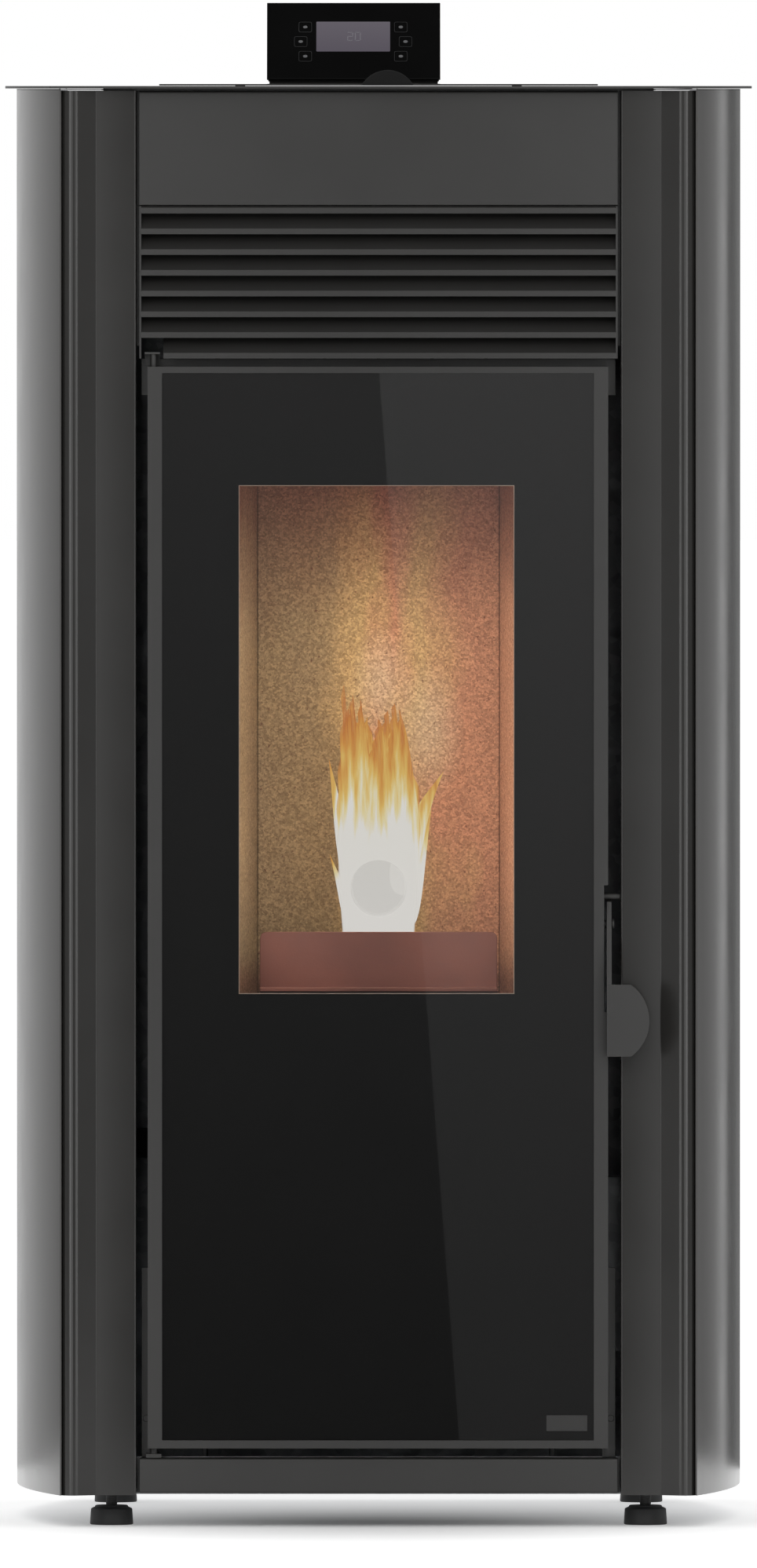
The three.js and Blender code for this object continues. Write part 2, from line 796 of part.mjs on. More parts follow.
// Top plate: bowed outline, hopper mouth, and two ears below it that carry the lid's hinge rod.
function topPlate() {
	const outline = bowedPlan(-topOverhang, frontY - topFrontOverhang, rearY + topRearOverhang);
	const corners = planPrism(outline, [topBottom, topFace]);
	const mouth = box(
		frameX(hopperHalfWidth + topMouthLap),
		[hopperFrontY - topMouthLap, hopperRearY + topMouthLap],
		[topBottom - overlap, topFace + overlap],
	);
	let plate = cut(corners, mouth);
	const earReach = lidKnuckleRadius + overlap;
	for (const side of [-1, 1]) {
		const slotHalfWidth = lidArmWidth / 2 + lidEarGap;
		const slotX = [side * lidArmX - slotHalfWidth, side * lidArmX + slotHalfWidth];
		const slot = box(
			slotX,
			[lidRearY - lidEarWidth, lidHingeY + earReach + overlap],
			[topBottom - overlap, topFace + overlap],
		);
		const earX = side > 0 ? [lidEarX, lidEarX + lidEarWidth] : [-lidEarX - lidEarWidth, -lidEarX];
		const ear = box(
			earX,
			[lidHingeY - earReach, lidHingeY + earReach],
			[lidHingeZ - lidKnuckleRadius, topBottom + topSheet / 2],
		);
		plate = join(cut(plate, slot), ear);
	}
	const rodEnd = lidEarX + lidEarWidth + lidEarGap;
	return join(plate, rod('x', lidRodRadius, [-rodEnd, rodEnd], { y: lidHingeY, z: lidHingeZ }, 16));
}

// Lugs at both ends of a front panel, which bear on the returns of the columns.
function sideLugs(z) {
	const y = [frontY + frontPanelReturn - frontSheet, frontY + frontPanelReturn];
	return [-1, 1].map((side) => {
		const edges = [side * (panelHalfWidth - overlap), side * (columnInnerX - seat)].sort((a, b) => a - b);
		return box(edges, y, z);
	});
}

function frontTopPanel() {
	const y = [frontY, frontY + frontPanelReturn];
	const z = [frontPanelBottom, columnTop];
	const pan = cut(
		box(frameX(panelHalfWidth), y, z),
		box(
			frameX(panelHalfWidth - frontSheet),
			[y[0] + frontSheet, y[1] + overlap],
			[z[0] + frontSheet, z[1] - frontSheet],
		),
	);
	return join(pan, ...sideLugs(z));
}

function baseRail() {
	const section = sheetOutline(bentPath([
		point(trayFrontY - seat, railTop),
		point(frontY, railTop),
		point(frontY, railBottom),
		point(trayFrontY - seat, railBottom),
	], frontSheet), frontSheet);
	return join(sidePrism(section, frameX(panelHalfWidth)), ...sideLugs([railBottom, railTop]));
}

function louvre(index) {
	const lipBottom = grilleBottom + index * louvrePitch;
	const section = sheetOutline([
		point(frontY + louvreBladeRun, lipBottom + louvreLip + louvreBladeRise),
		point(frontY, lipBottom + louvreLip),
		point(frontY, lipBottom),
	], louvreSheet);
	return sidePrism(section, frameX(panelHalfWidth - frontSheet + overlap));
}

const upperHingeZ = [doorTop + upperHingeRise, doorTop + upperHingeRise + hingePlate];
const upperHingeX = [hingeX - hingePlateWidth / 2 - overlap, hingeX + hingePlateWidth / 2 - overlap];

function frontGrille() {
	const y = [frontY, frontY + grilleDepth];
	const cheek = (side) => {
		const edges = [side * (panelHalfWidth - frontSheet), side * panelHalfWidth].sort((a, b) => a - b);
		return box(edges, y, [grilleBottom, grilleTop]);
	};
	const louvres = Array.from({ length: louvreCount }, (unused, index) => louvre(index));
	const aboveGrille = box(
		frameX(columnInnerX),
		[frontY - overlap, y[1] + overlap],
		[frontPanelBottom - seat, frontPanelBottom + louvrePitch],
	);
	const hingeRoom = box(
		[upperHingeX[0] - notchGauge, upperHingeX[1] + notchGauge],
		[frontY - overlap, y[1] + overlap],
		[grilleBottom - overlap, upperHingeZ[1] + notchGauge],
	);
	return cut(
		join(cheek(-1), cheek(1), ...louvres, ...sideLugs([grilleBottom + upperHingeRise, grilleTop])),
		aboveGrille,
		hingeRoom,
	);
}

addPart('left_column', column(-1), finishes.casing());
addPart('right_column', column(1), finishes.casing());
addPart('left_side_panel', sidePanel(-1), finishes.side());
addPart('right_side_panel', sidePanel(1), finishes.side());
addPart('rear_panel', rearPanel(), finishes.innerSteel());
addPart('top_plate', topPlate(), finishes.casing());
addPart('front_top_panel', frontTopPanel(), finishes.casing());
addPart('front_base_rail', baseRail(), finishes.casing());
addPart('front_grille', frontGrille(), finishes.casing());

// ---------------------------------------------------------------------------------------------------
// Firebox, lining and burn pot
// ---------------------------------------------------------------------------------------------------

// The chute rises from its mouth in the back lining and turns up towards the auger.
function chuteRun(radius, wall) {
	const wallY = backLinerFrontY - chuteMouthProud;
	const mouthZ = hearthTop + chuteMouthHeight;
	const lineZ = (y) => mouthZ + (y - wallY) * Math.tan(chuteSlope);
	const kneeY = fireboxRearY + chuteOuterRadius / 2;
	const path = new THREE.CurvePath();
	const start = new THREE.Vector3(0, wallY - chuteOuterRadius, lineZ(wallY - chuteOuterRadius));
	const knee = new THREE.Vector3(0, kneeY, lineZ(kneeY));
	const corner = new THREE.Vector3(0, chuteDropY, lineZ(chuteDropY));
	const turn = new THREE.Vector3(0, chuteDropY, corner.z + 2 * chuteOuterRadius);
	const end = new THREE.Vector3(0, chuteDropY, augerZ);
	path.add(new THREE.LineCurve3(start, knee));
	path.add(new THREE.QuadraticBezierCurve3(knee, corner, turn));
	path.add(new THREE.LineCurve3(turn, end));
	const section = new THREE.Shape();
	section.absarc(0, 0, radius, 0, 2 * Math.PI, false);
	if (wall > 0) {
		const bore = new THREE.Path();
		bore.absarc(0, 0, radius - wall, 0, 2 * Math.PI, false);
		section.holes.push(bore);
	}
	const smooth = new THREE.CatmullRomCurve3(path.getSpacedPoints(chuteSteps));
	const sweep = { steps: chuteSteps, curveSegments: 8, extrudePath: smooth };
	return solidOf(new THREE.ExtrudeGeometry(section, sweep));
}

const chuteHole = () => chuteRun(chuteOuterRadius + holeGap, 0);

// Channel welded to the back of the firebox: it leads the smoke down to the fan.
function smokeDuct() {
	const x = [smokeDuctInnerX, smokeDuctOuterX];
	const z = [trayTop + smokeDuctBottom, fireboxTop];
	return cut(
		box(x, [fireboxRearY - overlap, smokeDuctRearY], z),
		box(
			[x[0] + smokeWall, x[1] - smokeWall],
			[fireboxRearY, smokeDuctRearY - smokeWall],
			[z[0] + smokeWall, z[1] - smokeWall],
		),
		rod('y', smokeInletRadius, [smokeDuctRearY - smokeWall - overlap, smokeDuctRearY + overlap], smokeLine),
	);
}

function roofFins() {
	const pitch = (2 * exchangerHalfWidth - finSheet) / (finCount - 1);
	const y = [faceRearY, faceRearY + exchangerDepth];
	return Array.from({ length: finCount }, (unused, index) => {
		const x = -exchangerHalfWidth + index * pitch;
		return box([x, x + finSheet], y, [fireboxTop - overlap, exchangerTop]);
	});
}

function firebox() {
	const wallX = frameX(fireboxHalfWidth);
	const innerX = frameX(chamberHalfWidth);
	const innerY = [faceRearY, chamberRearY];
	const shell = box(wallX, [faceRearY - overlap, fireboxRearY], [fireboxBottom, fireboxTop]);
	const chamber = box(innerX, innerY, [hearthTop, chamberTop]);
	const ashRoom = box(innerX, innerY, [ashFloorTop, hearthBottom]);
	const stand = box(
		innerX,
		[faceRearY + fireboxWall, fireboxRearY + overlap],
		[fireboxBottom - overlap, ashFloorTop - fireboxWall],
	);
	const ashDrop = box(
		frameX(ashDropHalfWidth),
		[faceRearY + fireboxWall, faceRearY + fireboxWall + ashDropDepth],
		[hearthBottom - overlap, hearthTop + overlap],
	);
	const plateBottom = doorBottom;
	const plateTop = grilleBottom - surroundBand - 2 * seat;
	const plate = box(frameX(faceHalfWidth), [faceFrontY, faceRearY], [plateBottom, plateTop]);
	const flangeRoom = box(
		frameX(faceHalfWidth + overlap),
		[faceFrontY - overlap, trayFrontY + traySheet + seat],
		[fireboxBottom - overlap, doorBottom],
	);
	const throughFace = [faceFrontY - overlap, faceRearY + overlap];
	const mouth = box(frameX(mouthHalfWidth), throughFace, [hearthTop + mouthSill, chamberTop - mouthHeader]);
	const ashDoor = box(
		frameX(ashDoorHalfWidth),
		throughFace,
		[ashFloorTop, hearthBottom - ashDoorHeader],
	);
	const throughBack = [chamberRearY - overlap, fireboxRearY + overlap];
	const smokeSlot = box(
		[smokeDuctInnerX + smokeWall, smokeDuctOuterX - smokeWall],
		throughBack,
		[chamberTop - smokeSlotHeight, chamberTop - fireboxWall / 2],
	);
	return cut(
		join(cut(shell, chamber, ashRoom, stand), plate, smokeDuct(), ...roofFins()),
		flangeRoom,
		ashDrop,
		mouth,
		ashDoor,
		smokeSlot,
		chuteHole(),
		rod('y', airPipeRadius - airPipeWall, throughBack, { x: airPipeX, z: hearthTop + airPipeHeight }),
		rod('y', igniterRadius + runningGap, throughBack, { x: igniterX, z: hearthTop + igniterHeight }, 16),
	);
}

function backLiner() {
	const through = [backLinerFrontY - overlap, backLinerRearY + overlap];
	return cut(
		box(frameX(backLinerHalfWidth), [backLinerFrontY, backLinerRearY], [linerBottom, linerTop]),
		chuteHole(),
		rod('y', airPipeRadius - airPipeWall, through, { x: airPipeX, z: hearthTop + airPipeHeight }),
		rod('y', igniterRadius + runningGap, through, { x: igniterX, z: hearthTop + igniterHeight }, 16),
	);
}

// Side lining: its inner face opens out from the back lining towards the door.
function sideLiner(side) {
	const frontLinerY = backLinerRearY - sideLinerDepth;
	const outerX = chamberHalfWidth - seat;
	const outline = [
		point(backLinerHalfWidth + seat, backLinerRearY),
		point(outerX, backLinerRearY),
		point(outerX, frontLinerY),
		point(sideLinerFrontX, frontLinerY),
		point(backLinerHalfWidth + seat, backLinerFrontY),
	];
	return planPrism(
		new THREE.Shape(outline.map((corner) => point(corner.x * side, corner.y))),
		[linerBottom, linerTop],
	);
}

function baffle() {
	return box(
		frameX(chamberHalfWidth - seat),
		[backLinerRearY - baffleDepth, backLinerRearY],
		[baffleBottom, baffleBottom + baffleThickness],
	);
}

function burnPot() {
	const z = [potLipBottom + potLipThickness - potHeight, potLipBottom + potLipThickness];
	const body = box(frameX(potHalfWidth), [potFrontY, potRearY], z);
	const lip = box(
		frameX(potHalfWidth + potLip),
		[potFrontY - potLip, potRearY + potLip],
		[potLipBottom, z[1]],
	);
	const bowl = box(
		frameX(potHalfWidth - potWall),
		[potFrontY + potWall, potRearY - potWall],
		[z[0] + potWall, z[1] + overlap],
	);
	let pot = cut(join(body, lip), bowl);
	for (let column = 0; column < potGrateHoles; column++) {
		const x = (column - (potGrateHoles - 1) / 2) * (2 * potHalfWidth / (potGrateHoles + 1));
		for (const share of [1 / 3, 2 / 3]) {
			const y = THREE.MathUtils.lerp(potFrontY, potRearY, share);
			pot = cut(pot, rod('z', potGrateHoleRadius, [z[0] - overlap, z[0] + potWall + overlap], { x, y }, 8));
		}
	}
	return pot;
}

function burnPotCradle() {
	const rearWall = [cradleInnerRearY - overlap, cradleRearY + overlap];
	return cut(
		box(frameX(cradleHalfWidth), [cradleFrontY, cradleRearY], [linerBottom, cradleTop]),
		box(
			frameX(cradleHalfWidth - cradleWall),
			[cradleFrontY + cradleWall, cradleInnerRearY],
			[linerBottom + cradleWall, cradleTop + overlap],
		),
		rod('y', airPipeRadius - 2 * airPipeWall, rearWall, { x: airPipeX, z: hearthTop + airPipeHeight }),
		rod('y', igniterRadius + runningGap, rearWall, { x: igniterX, z: hearthTop + igniterHeight }, 16),
	);
}

// Guard plate in front of the burn pot, with a ledge folded forward to the glass.
function ashGuard() {
	const z = [linerBottom, linerBottom + guardHeight];
	const top = new THREE.Shape();
	top.moveTo(-guardHalfWidth, z[0]);
	top.lineTo(guardHalfWidth, z[0]);
	top.lineTo(guardHalfWidth, z[1] - guardCornerRadius);
	top.quadraticCurveTo(guardHalfWidth, z[1], guardHalfWidth - guardCornerRadius, z[1]);
	top.lineTo(-guardHalfWidth + guardCornerRadius, z[1]);
	top.quadraticCurveTo(-guardHalfWidth, z[1], -guardHalfWidth, z[1] - guardCornerRadius);
	const wall = frontPrism(top, [guardRearY - guardSheet, guardRearY]);
	const ledge = box(
		frameX(guardHalfWidth),
		[guardRearY - guardLedgeDepth, guardRearY - guardSheet / 2],
		[z[0] + guardLedgeHeight - guardSheet, z[0] + guardLedgeHeight],
	);
	return join(wall, ledge);
}

addPart('firebox', firebox(), finishes.blackSteel());
addPart('back_lining', backLiner(), finishes.vermiculite());
addPart('left_lining', sideLiner(-1), finishes.vermiculite());
addPart('right_lining', sideLiner(1), finishes.vermiculite());
addPart('flame_baffle', baffle(), finishes.vermiculite());
addPart('burn_pot_cradle', burnPotCradle(), finishes.castIron());
addPart('burn_pot', burnPot(), finishes.castIron());
addPart('ash_guard_plate', ashGuard(), finishes.castIron());

// ---------------------------------------------------------------------------------------------------
// Door surround, hinges and striker
// ---------------------------------------------------------------------------------------------------

const surroundY = [faceFrontY, faceFrontY + surroundSheet];

function upperSurround() {
	const top = grilleBottom - seat;
	const legBottom = top - surroundBand - surroundTopLeg;
	return cut(
		box(frameX(surroundHalfWidth), surroundY, [legBottom, top]),
		box(
			frameX(surroundLegX),
			[surroundY[0] - overlap, surroundY[1] + overlap],
			[legBottom - overlap, top - surroundBand],
		),
	);
}

function lowerSurround(side) {
	const edges = [side * surroundLegX, side * surroundHalfWidth].sort((a, b) => a - b);
	const bottom = railTop + seat;
	const screwHead = rod(
		'y',
		lowerLegScrewRadius,
		[surroundY[0] - overlap, surroundY[0] + overlap],
		{ x: side * (surroundHalfWidth - lowerLegScrewRadius - overlap), z: bottom + lowerLegScrewHeight },
		12,
	);
	return join(box(edges, surroundY, [bottom, bottom + lowerLegHeight]), screwHead);
}

const hingePlateY = [hingeY - hingePlateWidth / 3, surroundY[0] - seat];

function upperHinge() {
	const plate = box(upperHingeX, hingePlateY, upperHingeZ);
	const tabY = [hingePlateY[1] - hingePlate, hingePlateY[1]];
	const tab = box(upperHingeX, tabY, [doorTop + overlap, upperHingeZ[1]]);
	const pinZ = [doorTop - hingePinEngagement, upperHingeZ[1]];
	const pin = rod('z', upperPinRadius, pinZ, { x: hingeX, y: hingeY }, 16);
	return join(plate, tab, pin);
}

function lowerHinge() {
	const z = [railTop + seat, railTop + seat + 2 * hingePlate];
	const plate = box([hingeX - hingePlateWidth / 2, hingeX + hingePlateWidth / 2], hingePlateY, z);
	const pinZ = [z[0], doorBottom + hingePinEngagement];
	const pin = rod('z', lowerPinRadius, pinZ, { x: hingeX, y: hingeY }, 16);
	return join(plate, pin);
}

const latchPivotY = doorFrontY + latchPivotDepth;
const latchPivotZ = doorBottom + latchPivotHeight;
const strikerZ = latchPivotZ + strikerRise;
const latchX = [doorRight - latchEdgeGap, doorRight - latchEdgeGap + latchGauge];

function striker() {
	return rod(
		'x',
		strikerRadius,
		[strikerHeadStart, columnInnerX - seat],
		{ y: latchPivotY, z: strikerZ },
		16,
	);
}

addPart('upper_door_surround', upperSurround(), finishes.blackSteel());
addPart('left_lower_surround', lowerSurround(-1), finishes.blackSteel());
addPart('right_lower_surround', lowerSurround(1), finishes.blackSteel());
addPart('upper_hinge', upperHinge(), finishes.blackSteel());
addPart('lower_hinge', lowerHinge(), finishes.blackSteel());
addPart('latch_striker', striker(), finishes.innerSteel());

// ---------------------------------------------------------------------------------------------------
// Door
// ---------------------------------------------------------------------------------------------------

const barInnerX = [doorLeft + doorSideBar, doorRight - doorSideBar];
const barInnerZ = [doorBottom + doorBottomBar, doorTop - doorTopBar];

function doorFrame() {
	const y = [doorFrontY, doorRearY];
	const notch = box(
		[latchX[0] - notchGauge, doorRight + overlap],
		[doorFrontY - overlap, doorRearY + overlap],
		[latchPivotZ - notchBelow, latchPivotZ + notchAbove],
	);
	const pinHole = (radius, z) => rod('z', radius + runningGap, z, { x: hingeX, y: hingeY }, 16);
	const engaged = hingePinEngagement + overlap;
	return cut(
		box([doorLeft, doorRight], y, [doorBottom, doorTop]),
		box(
			[doorLeft + doorSheet, doorRight - doorSheet],
			[doorFrontY + doorSheet, doorRearY + overlap],
			[doorBottom + doorSheet, doorTop - doorSheet],
		),
		box(barInnerX, [doorFrontY - overlap, doorFrontY + 2 * doorSheet], barInnerZ),
		notch,
		pinHole(lowerPinRadius, [doorBottom - overlap, doorBottom + engaged]),
		pinHole(upperPinRadius, [doorTop - engaged, doorTop + overlap]),
	);
}

function doorGlass() {
	return box(
		[barInnerX[0] - glassLap + overlap, barInnerX[1] + glassLap - overlap],
		[glassFrontY, glassFrontY + glassThickness],
		[barInnerZ[0] - doorSheet, barInnerZ[1] + doorSheet],
	);
}

const retainerX = [barInnerX[0] - glassLap + retainerInset, barInnerX[1] + glassLap - retainerInset];
const retainerZ = [doorBottom + doorSheet + hingePinEngagement, doorTop - doorSheet - hingePinEngagement];

function glassRetainer() {
	return cut(
		box(retainerX, [retainerFrontY, retainerRearY], retainerZ),
		box(
			frameX(windowHalfWidth),
			[retainerFrontY - overlap, retainerRearY + overlap],
			[hearthTop + windowRise, linerTop - windowTopGap],
		),
	);
}

// Rope seal round the firebox mouth and the ash drawer.
function doorSeal() {
	const y = [retainerRearY + seat, faceFrontY - seat];
	const z = [ashFloorTop - sealDrop, doorTop - sealTop];
	return cut(
		box(frameX(sealHalfWidth), y, z),
		box(
			frameX(sealHalfWidth - sealWidth),
			[y[0] - overlap, y[1] + overlap],
			[z[0] + sealWidth, z[1] - sealWidth],
		),
	);
}

const pivotHeadX = [latchX[1] + seat, latchX[1] + seat + pivotHeadThickness];

// Latch pivot: a small bracket on the retainer with the riveted pin that the lever turns on.
function latchPivot() {
	const bracketX = [retainerX[1] - 2 * latchPivotRadius, retainerX[1]];
	const bracket = box(
		bracketX,
		[retainerRearY + seat, latchPivotY + latchPivotRadius + 2 * overlap],
		[latchPivotZ - 3 * latchPivotRadius, latchPivotZ + 3 * latchPivotRadius],
	);
	const at = { y: latchPivotY, z: latchPivotZ };
	const pin = rod('x', latchPivotRadius, [bracketX[1] - overlap, pivotHeadX[1]], at, 16);
	const head = rod('x', latchPivotRadius + overlap, pivotHeadX, at, 16);
	return join(bracket, pin, head);
}

// Latch lever: a plate on edge in the door's notch, with a finger behind the striker and a bent tab.
function latchLever() {
	const y = (offset) => latchPivotY + offset;
	const z = (offset) => latchPivotZ + offset;
	const tabFaceOffset = frontY - tabReach - latchPivotY;
	const fingerStart = strikerRadius + fingerGap;
	const fingerEnd = fingerStart + fingerThickness;
	const saddle = strikerRise - strikerRadius - fingerGap;
	const saddleFront = Math.sqrt(saddle ** 2 - latchHub ** 2); // swings past under the striker
	const tabBottomDrop = tabTopDrop + tabHeight;
	const outline = new THREE.Shape([
		point(y(-latchHub), z(saddleFront)),
		point(y(fingerStart), z(saddle)),
		point(y(fingerStart), z(strikerRise + fingerRise)),
		point(y(fingerEnd), z(strikerRise - fingerRise)),
		point(y(fingerEnd), z(0)),
		point(y(latchHub - overlap), z(-latchHub)),
		point(y(-latchHub), z(-2 * latchHub)),
		point(y(tabFaceOffset + armDepth), z(-tabTopDrop - overlap)),
		point(y(tabFaceOffset + armDepth), z(-tabBottomDrop)),
		point(y(tabFaceOffset), z(-tabBottomDrop)),
		point(y(tabFaceOffset), z(-tabTopDrop)),
		point(y(-2 * latchHub), z(-overlap)),
	]);
	const arm = sidePrism(outline, latchX);
	const straightX = latchX[0] + tabStraight;
	const arcRadius = ((tabHeight / 2) ** 2 + tabBulge ** 2) / (2 * tabBulge);
	const arcHalf = Math.asin(tabHeight / 2 / arcRadius);
	const tabShape = new THREE.Shape();
	tabShape.moveTo(latchX[0], z(-tabBottomDrop));
	tabShape.lineTo(straightX, z(-tabBottomDrop));
	tabShape.absarc(
		straightX + tabBulge - arcRadius,
		z(-tabTopDrop - tabHeight / 2),
		arcRadius,
		-arcHalf,
		arcHalf,
		false,
	);
	tabShape.lineTo(latchX[0], z(-tabTopDrop));
	const tab = frontPrism(tabShape, [y(tabFaceOffset), y(tabFaceOffset) + tabSheet]);
	const bore = rod(
		'x',
		latchPivotRadius + runningGap,
		[latchX[0] - overlap, latchX[1] + overlap],
		{ y: latchPivotY, z: latchPivotZ },
		16,
	);
	return cut(join(arm, tab), bore);
}

addPart('door_frame', doorFrame(), finishes.casing());
addPart('door_glass', doorGlass(), finishes.glass());
addPart('glass_retainer', glassRetainer(), finishes.blackSteel());
addPart('door_seal', doorSeal(), finishes.rope());
addPart('latch_pivot', latchPivot(), finishes.blackSteel());
addPart('latch_lever', latchLever(), finishes.casing());

// ---------------------------------------------------------------------------------------------------
// Pellet feed: hopper, auger and chute
// ---------------------------------------------------------------------------------------------------

const augerLine = { x: 0, z: augerZ };

function frustum(halfTop, [topY0, topY1], topZ, halfBottom, [bottomY0, bottomY1], bottomZ) {
	const ring = (half, y0, y1, z) => [
		new THREE.Vector3(-half, y0, z),
		new THREE.Vector3(half, y0, z),
		new THREE.Vector3(half, y1, z),
		new THREE.Vector3(-half, y1, z),
	];
	return solidOf(new ConvexGeometry([
		...ring(halfTop, topY0, topY1, topZ),
		...ring(halfBottom, bottomY0, bottomY1, bottomZ),
	]));
}

// The hopper's outside, or its inside when drawn in by the wall.
function hopperForm(inset, topExtra, bottomZ) {
	const topY = [hopperFrontY + inset, hopperRearY - inset];
	const neckY = [neckFrontY + inset, neckRearY - inset];
	return join(
		box(frameX(hopperHalfWidth - inset), topY, [hopperTaperTop, hopperTop + topExtra]),
		frustum(
			hopperHalfWidth - inset,
			topY,
			hopperTaperTop,
			hopperNeckHalfWidth - inset,
			neckY,
			hopperTaperBottom,
		),
		box(frameX(hopperNeckHalfWidth - inset), neckY, [bottomZ, hopperTaperBottom]),
	);
}

function hopper() {
	const rim = box(
		frameX(hopperHalfWidth + hopperRim),
		[hopperFrontY - hopperRim, hopperRearY + hopperRim],
		[hopperTop - hopperWall, hopperTop],
	);
	return cut(
		join(hopperForm(0, 0, augerZ), rim),
		hopperForm(hopperWall, overlap, augerZ - overlap),
		rod('y', augerTubeRadius + seat, [neckFrontY - overlap, neckRearY + overlap], augerLine),
	);
}

function augerTube() {
	const tube = rod('y', augerTubeRadius, [augerFrontY, augerRearY], augerLine);
	const boreY = [augerFrontY + augerTubeWall, augerRearY + overlap];
	const bore = rod('y', augerTubeRadius - augerTubeWall, boreY, augerLine);
	const bearing = rod(
		'y',
		augerTrunnionRadius + runningGap,
		[augerFrontY - overlap, augerFrontY + augerTubeWall + overlap],
		augerLine,
		16,
	);
	const inletHalf = hopperNeckHalfWidth - hopperWall;
	const inlet = box(
		frameX(inletHalf),
		[neckFrontY + hopperWall, neckRearY - hopperWall],
		[augerZ, augerZ + augerTubeRadius + overlap],
	);
	const drop = rod(
		'z',
		chuteOuterRadius - chuteWall,
		[augerZ - augerTubeRadius - overlap, augerZ],
		{ x: 0, y: chuteDropY },
	);
	return cut(tube, bore, bearing, inlet, drop);
}

// Auger: a helical flight of one start on a solid shaft.
function augerScrew() {
	const flightStart = augerFrontY + 2 * augerTubeWall;
	const flightLength = augerRearY - 2 * augerTubeWall - flightStart;
	const turns = flightLength / augerPitch;
	const sector = new THREE.Shape();
	sector.absarc(0, 0, augerFlightRadius, 0, augerFlightAngle, false);
	sector.lineTo(0, 0);
	const steps = Math.ceil(turns * augerStepsPerTurn);
	const flight = new THREE.ExtrudeGeometry(
		sector,
		{ depth: flightLength, steps, bevelEnabled: false, curveSegments: 1 },
	);
	const place = flight.getAttribute('position');
	const corner = new THREE.Vector3();
	const axis = new THREE.Vector3(0, 0, 1);
	for (let i = 0; i < place.count; i++) {
		corner.fromBufferAttribute(place, i);
		corner.applyAxisAngle(axis, (2 * Math.PI * corner.z) / augerPitch);
		place.setXYZ(i, corner.x, corner.y, corner.z);
	}
	flight.rotateX(-Math.PI / 2).translate(0, flightStart, augerZ);
	const shaft = rod('y', augerShaftRadius, [flightStart, augerRearY + shaftEngagement], augerLine, 16);
	const trunnionY = [augerFrontY - overlap, flightStart + overlap];
	const trunnion = rod('y', augerTrunnionRadius, trunnionY, augerLine, 16);
	return join(solidOf(flight), shaft, trunnion);
}

function augerGearmotor() {
	const gearboxY = [augerRearY + seat, gearboxRearY];
	const gearboxZ = [augerZ - gearboxHalfWidth, augerZ + gearboxHalfWidth];
	const gearbox = box(frameX(gearboxHalfWidth), gearboxY, gearboxZ);
	const motorY = [gearboxRearY - overlap, gearboxRearY + augerMotorLength];
	const motor = rod('y', augerMotorRadius, motorY, augerLine);
	const socket = rod(
		'y',
		augerShaftRadius + runningGap,
		[gearboxY[0] - overlap, augerRearY + shaftEngagement + overlap],
		augerLine,
		16,
	);
	return cut(join(gearbox, motor), socket);
}

function pelletChute() {
	const pipe = chuteRun(chuteOuterRadius, chuteWall);
	const beforeMouth = box(
		frameX(2 * chuteOuterRadius),
		[backLinerFrontY - 4 * chuteOuterRadius, backLinerFrontY - chuteMouthProud],
		[hearthTop, augerZ],
	);
	const tubeRoom = rod('y', augerTubeRadius + seat, [augerFrontY - augerTubeRadius, augerRearY], augerLine);
	return cut(pipe, beforeMouth, tubeRoom);
}

addPart('hopper', hopper(), finishes.innerSteel());
addPart('auger_tube', augerTube(), finishes.innerSteel());
addPart('auger_screw', augerScrew(), finishes.innerSteel());
addPart('auger_gearmotor', augerGearmotor(), finishes.motor());
addPart('pellet_chute', pelletChute(), finishes.innerSteel());

// ---------------------------------------------------------------------------------------------------
// Hopper lid
// ---------------------------------------------------------------------------------------------------

// Lid plate with two arms that reach down through the top plate to knuckles on the hinge rod.
function hopperLid() {
	let lid = box(frameX(lidHalfWidth), [lidFrontY, lidRearY], [lidBottom, lidTop]);
	const at = { y: lidHingeY, z: lidHingeZ };
	for (const side of [-1, 1]) {
		const armX = [side * lidArmX - lidArmWidth / 2, side * lidArmX + lidArmWidth / 2];
		const bridge = box(armX, [lidRearY - overlap, lidHingeY], [lidBottom, lidTop]);
		const drop = box(armX, [lidHingeY - lidSheet, lidHingeY], [lidHingeZ, lidTop]);
		lid = join(lid, bridge, drop, rod('x', lidKnuckleRadius, armX, at, 16));
		lid = cut(lid, rod('x', lidRodRadius + seat, [armX[0] - overlap, armX[1] + overlap], at, 16));
	}
	return lid;
}

function lidSeal() {
	const outer = [hopperHalfWidth + topMouthLap - overlap, topMouthLap - overlap];
	const z = [hopperTop + seat, lidBottom - seat];
	return cut(
		box(frameX(outer[0]), [hopperFrontY - outer[1], hopperRearY + outer[1]], z),
		box(
			frameX(outer[0] - lidSealWidth),
			[hopperFrontY - outer[1] + lidSealWidth, hopperRearY + outer[1] - lidSealWidth],
			[z[0] - overlap, z[1] + overlap],
		),
	);
}

// Upright finger tab on the front edge of the lid: the top of a round disc.
function lidTab() {
	const centreZ = lidBottom + lidTabRise - lidTabRadius;
	const half = Math.acos((lidBottom - centreZ) / lidTabRadius);
	const shape = new THREE.Shape();
	shape.absarc(lidTabX, centreZ, lidTabRadius, Math.PI / 2 - half, Math.PI / 2 + half, false);
	return frontPrism(shape, [lidFrontY - seat - lidTabSheet, lidFrontY - seat]);
}

addPart('hopper_lid', hopperLid(), finishes.casing());
addPart('lid_seal', lidSeal(), finishes.rope());
addPart('lid_tab', lidTab(), finishes.blackSteel());

// ---------------------------------------------------------------------------------------------------
// Warm-air duct
// ---------------------------------------------------------------------------------------------------

